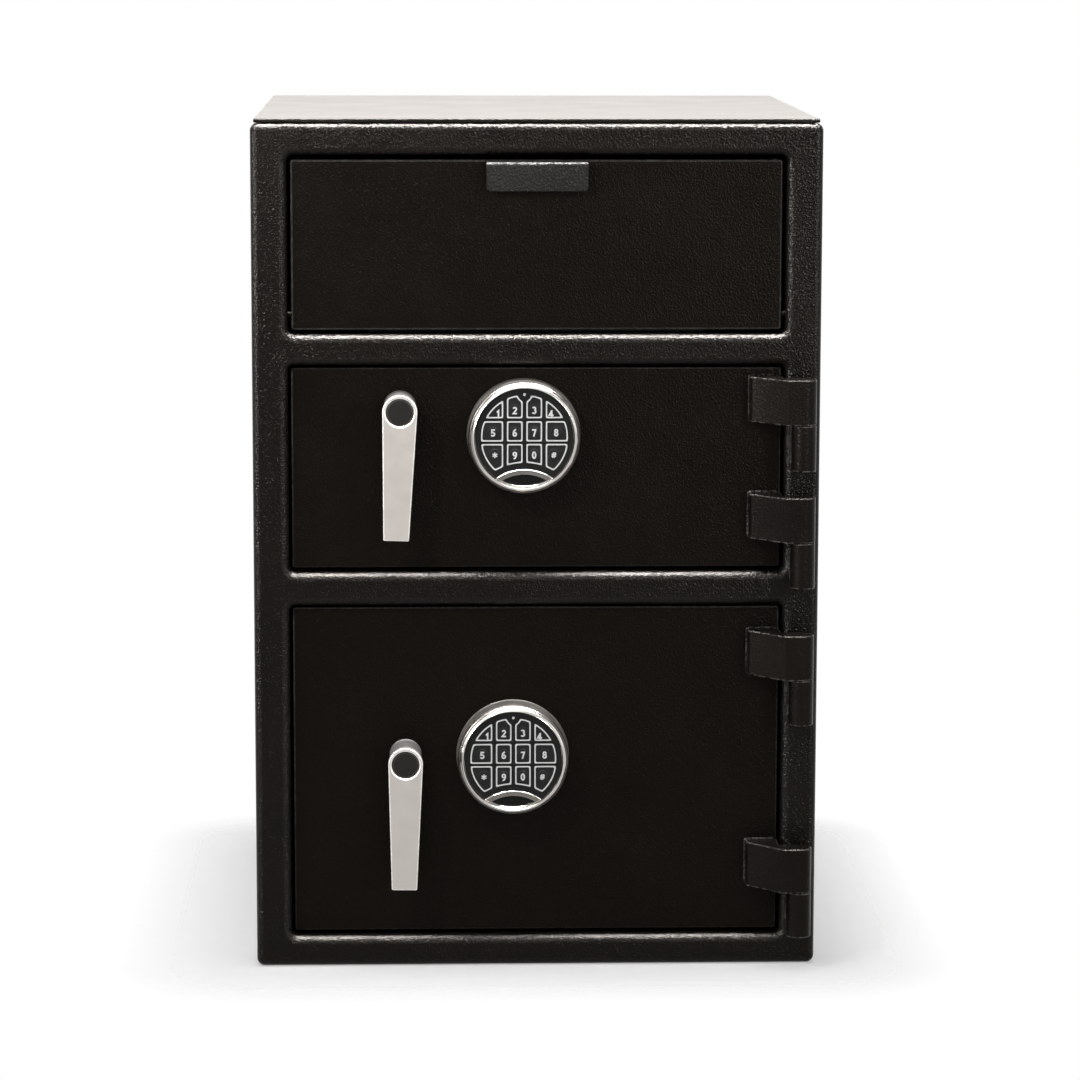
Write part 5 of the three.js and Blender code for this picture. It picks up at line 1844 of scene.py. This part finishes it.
    def make(self) -> None:
        """Makes the door's pieces."""
        z0 = self.bottom
        door, turn = f"{self.name}_door", f"{self.name}_handle"
        handle_z = z0 + self.height - self.handle_drop
        keypad_z = z0 + self.height - self.keypad_drop
        self.put("door_slab", self.plate(), 0, z0, (Finishes.SMOOTH, Finishes.ZINC), door, "door_plate")
        for place, junction in zip(("top", "foot"), self.hinge_junctions):
            self.put(f"{place}_hinge_wedge", self.hinge.strap(), 0, z0 + junction, (Finishes.HINGE,), door,
                     f"{place}_hinge_strap")
            self.put(f"{place}_hinge_block", self.hinge.post(), 0, z0 + junction,
                     (Finishes.HINGE, Finishes.ZINC), "root", f"{place}_hinge_post")
        x = self.handle_x
        self.put("hub_sleeve", self.handle.hub_ring(), x, handle_z, (Finishes.HUB,), door, "handle_hub")
        lever = leaned(self.handle.lever(), self.lean, 0, 0)
        self.put("lever_bar", lever, x, handle_z, (Finishes.NICKEL,), turn, "handle_lever")
        self.put("spindle_and_cam", self.handle.spindle(), x, handle_z, (Finishes.CAP, Finishes.ZINC), turn,
                 "handle_spindle")
        self.put("bolt_plate", self.carriage(), 0, z0, (Finishes.ZINC,), f"{self.name}_bolts",
                 "bolt_carriage")
        pocket = slab(rectangle(*self.pocket_ends, -self.pocket_half, self.pocket_half, 1.0, 2),
                      *self.pocket_depth, Plane.XZ, edge=0.2, steps=1)
        self.put("lock_box", self.lock(), self.keypad_x, keypad_z, (Finishes.CASTING, Finishes.ZINC), door,
                 "lock_case", cuts=(moved(pocket, self.keypad_x, FACE, keypad_z),))
        refined(f"{self.name}_lock_bolt", Finishes.ZINC, f"{self.name}_lock")
        self.make_keypad(door, keypad_z)

    def put(self, label: str, shape: Shape, x: float, z: float, finishes: tuple[Finish, ...], body: str,
            *nodes: str, **settings: object) -> None:
        """Makes a piece from a shape about (x, z) on the door's face, named after the door."""
        piece(f"{self.name}_{label}", moved(shape, x, FACE, z), finishes, body,
              *(f"{self.name}_{node}" for node in nodes), **settings)

    def make_keypad(self, body: str, z: float) -> None:
        """Makes the keypad's pieces.

        Args:
            body: the door's body.
            z: height of the keypad's middle.
        """
        x, pad = self.keypad_x, self.keypad
        self.put("keypad_body", pad.housing(), x, z,
                 (Finishes.CHROME, Finishes.SHADED_SIDE, Finishes.SHADED_SHOULDER), body, "keypad_housing")
        self.put("badge_plate", pad.badge_plate(), x, z,
                 (Finishes.PLATE, Finishes.CHROME, Finishes.BADGE), body, slot_name=Finishes.CHROME.name)
        self.put("key_panel", pad.panel(), x, z, (Finishes.PANEL, Finishes.PRINT), body, "keypad_panel")
        for label in pad.labels:
            self.put(f"key_{label}_cap", pad.key(label, *KEY_PLACES[label]), x, z,
                     (Finishes.KEY, Finishes.PRINT), f"{self.name}_key_{label}", f"key_{label}")


# Studio


@dataclass
class Lamp:
    """A soft box: its place, what it looks at, its size in metres and how bright its face is."""

    name: str
    place: tuple[float, float, float]
    target: tuple[float, float, float]
    size: tuple[float, float]
    radiance: float
    shine_only: bool = False
    colour: tuple[float, float, float] = (1.0, 1.0, 1.0)

    def make(self) -> None:
        """Makes the lamp, with a power of radiance * pi * area."""
        data = bpy.data.lights.new(self.name, "AREA")
        data.shape, data.size, data.size_y = "RECTANGLE", *self.size
        data.energy = self.radiance * math.pi * self.size[0] * self.size[1]
        data.color = self.colour
        lamp = added(self.name, data)
        lamp.location = self.place
        lamp.rotation_euler = (Vector(self.target) - Vector(self.place)).to_track_quat("-Z", "Y").to_euler()
        lamp.visible_camera = False
        lamp.visible_diffuse = not self.shine_only
        log.info("lamp %s", self.name)


@dataclass
class Studio:
    """Camera, soft light, pale floor and white surroundings."""

    camera_place: tuple[float, float, float] = (-0.1095, -3.7834, 0.9335)
    yaw: float = 1.824
    pitch: float = 8.719
    roll: float = 0.104
    lens: float = 132.72
    sensor: float = 36.0
    ambient: float = 0.4
    floor_radius: float = 2.4
    floor_steps: int = 96
    floor_drop: float = 0.2
    base_half: float = 0.25
    floor_fade: tuple[float, float] = (0.0, 0.13)
    floor_clear: float = 0.3
    lamps: list[Lamp] = field(default_factory=lambda: [
        Lamp("key", (-0.42, -0.93, 1.0), (-0.05, -0.25, 0.55), (0.07, 0.07), 245.0),
        Lamp("overhead", (0, -0.7, 2.6), (0, 0, 0.5), (1.9, 1.1), 1.6),
        Lamp("left_side", (-2.3, -1.3, 1.3), (0, 0, 0.4), (1.0, 1.6), 1.0),
        Lamp("right_side", (2.4, -1.0, 1.2), (0, 0, 0.4), (0.8, 1.6), 0.7),
        Lamp("ceiling", (-0.7, -1.6, 2.5), (-0.2, -0.6, 0.3), (2.6, 2.2), 1.2, True),
        Lamp("ceiling_tubes", (0.0, -0.42, 2.3), (0, -0.27, 0.5), (2.4, 0.26), 450.0, True),
        Lamp("left_strip", (-1.95, -1.8, 1.2), (0, -0.25, 0.6), (0.4, 0.9), 110.0, True),
        Lamp("right_strip", (1.3, -2.3, 1.2), (0, -0.25, 0.6), (0.3, 0.9), 55.0, True),
        Lamp("behind", (0.0, 3.0, 0.95), (0, 0.2, 0.7), (2.6, 0.9), 1.07, True, (1.0, 0.88, 0.765)),
    ])

    def make_camera(self) -> None:
        """Makes the camera at the photograph's angle, from yaw, pitch and roll."""
        yaw, pitch, roll = (math.radians(a) for a in (self.yaw, self.pitch, self.roll))
        ahead = Vector((math.sin(yaw) * math.cos(pitch), math.cos(yaw) * math.cos(pitch), -math.sin(pitch)))
        right = Vector((math.cos(yaw), -math.sin(yaw), 0))
        up = right.cross(ahead)
        right, up = (right * math.cos(roll) + up * math.sin(roll),
                     up * math.cos(roll) - right * math.sin(roll))
        data = bpy.data.cameras.new("camera")
        data.lens, data.sensor_width, data.sensor_fit = self.lens, self.sensor, "HORIZONTAL"
        camera = added("camera", data)
        camera.matrix_world = Matrix.Translation(self.camera_place) @ Matrix(
            (right, up, -ahead)).transposed().to_4x4()
        bpy.context.scene.camera = camera

    def make_floor(self) -> None:
        """Makes a pale floor that fades out by its distance past the base's square."""
        radii = np.concatenate([[0.02], np.linspace(0.3, self.floor_radius, 12)]) / MM
        count = self.floor_steps
        rings = radii[:, None, None] * circle(0, 0, 1, count)
        points = placed(rings.reshape(-1, 2), np.full(len(radii) * count, -self.floor_drop), Plane.XY)
        faces = [*band(len(radii), count), np.arange(count)[None, :]]
        shape = Shape(points, faces, [0] * len(faces), np.zeros(len(points)))
        floor = added("floor", mesh_of("floor", shape))
        graph = Graph("pale_floor")
        past = graph.place
        for operation, other in (("ABSOLUTE", None), ("SUBTRACT", (self.base_half, self.base_half, 1)),
                                 ("MAXIMUM", (0, 0, 0))):
            inputs = {0: past} if other is None else {0: past, 1: other}
            past = graph.node("ShaderNodeVectorMath", inputs, operation=operation).outputs[0]
        far = graph.node("ShaderNodeVectorMath", {0: past}, operation="LENGTH").outputs["Value"]
        fade = graph.spread(far, *self.floor_fade, self.floor_clear, 1.0)
        mottle = graph.blend(graph.spread(graph.noise(400.0, 3), 0.3, 0.7), (0.96, 0.96, 0.955),
                             (0.94, 0.94, 0.935))
        pale = graph.node("ShaderNodeBsdfDiffuse", {"Color": mottle}).outputs[0]
        clear = graph.node("ShaderNodeBsdfTransparent").outputs[0]
        mixed = graph.node("ShaderNodeMixShader", {0: fade, 1: pale, 2: clear}).outputs[0]
        graph.node("ShaderNodeOutputMaterial", {"Surface": mixed})
        floor.data.materials.append(graph.material)

    def make_world(self) -> None:
        """Makes surroundings that are white where they are seen, and dimmer as a source of light."""
        world = bpy.data.worlds.new("surroundings")
        bpy.context.scene.world = world
        world.use_nodes = True
        nodes, links = world.node_tree.nodes, world.node_tree.links
        nodes.clear()
        path = nodes.new("ShaderNodeLightPath")
        seen = path.outputs["Is Camera Ray"]
        for name in ("Is Glossy Ray", "Is Transmission Ray"):
            more = nodes.new("ShaderNodeMath")
            more.operation = "MAXIMUM"
            links.new(seen, more.inputs[0])
            links.new(path.outputs[name], more.inputs[1])
            seen = more.outputs[0]
        level = nodes.new("ShaderNodeMapRange")
        level.inputs["To Min"].default_value = self.ambient
        links.new(seen, level.inputs["Value"])
        background = nodes.new("ShaderNodeBackground")
        background.inputs["Color"].default_value = (1, 1, 1, 1)
        links.new(level.outputs["Result"], background.inputs["Strength"])
        output = nodes.new("ShaderNodeOutputWorld")
        links.new(background.outputs[0], output.inputs["Surface"])

    def make(self) -> None:
        """Makes the studio."""
        self.make_camera()
        self.make_floor()
        self.make_world()
        for lamp in self.lamps:
            lamp.make()


def main() -> None:
    """Builds the safe's looks and the studio."""
    logging.basicConfig(level=logging.INFO, format="%(message)s")
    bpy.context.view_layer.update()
    Cabinet().make()
    Inside().make()
    Hopper().make()
    Door("lower", handle_x=-118.2, handle_drop=135.4, lean=0.7, keypad_x=-21.3, keypad_drop=135.9,
         hinge_junctions=(237.5, 42.4), bolt_heights=(42.0, 149.4, 256.8)).make()
    Door("upper", handle_x=-122.3, handle_drop=35.0, lean=1.8, keypad_x=-11.6, keypad_drop=60.5,
         hinge_junctions=(132.6, 27.1), bolt_heights=(42.0, 138.9)).make()
    Studio().make()
    bpy.context.scene.view_settings.view_transform = "Standard"


if __name__ == "__main__":
    main()
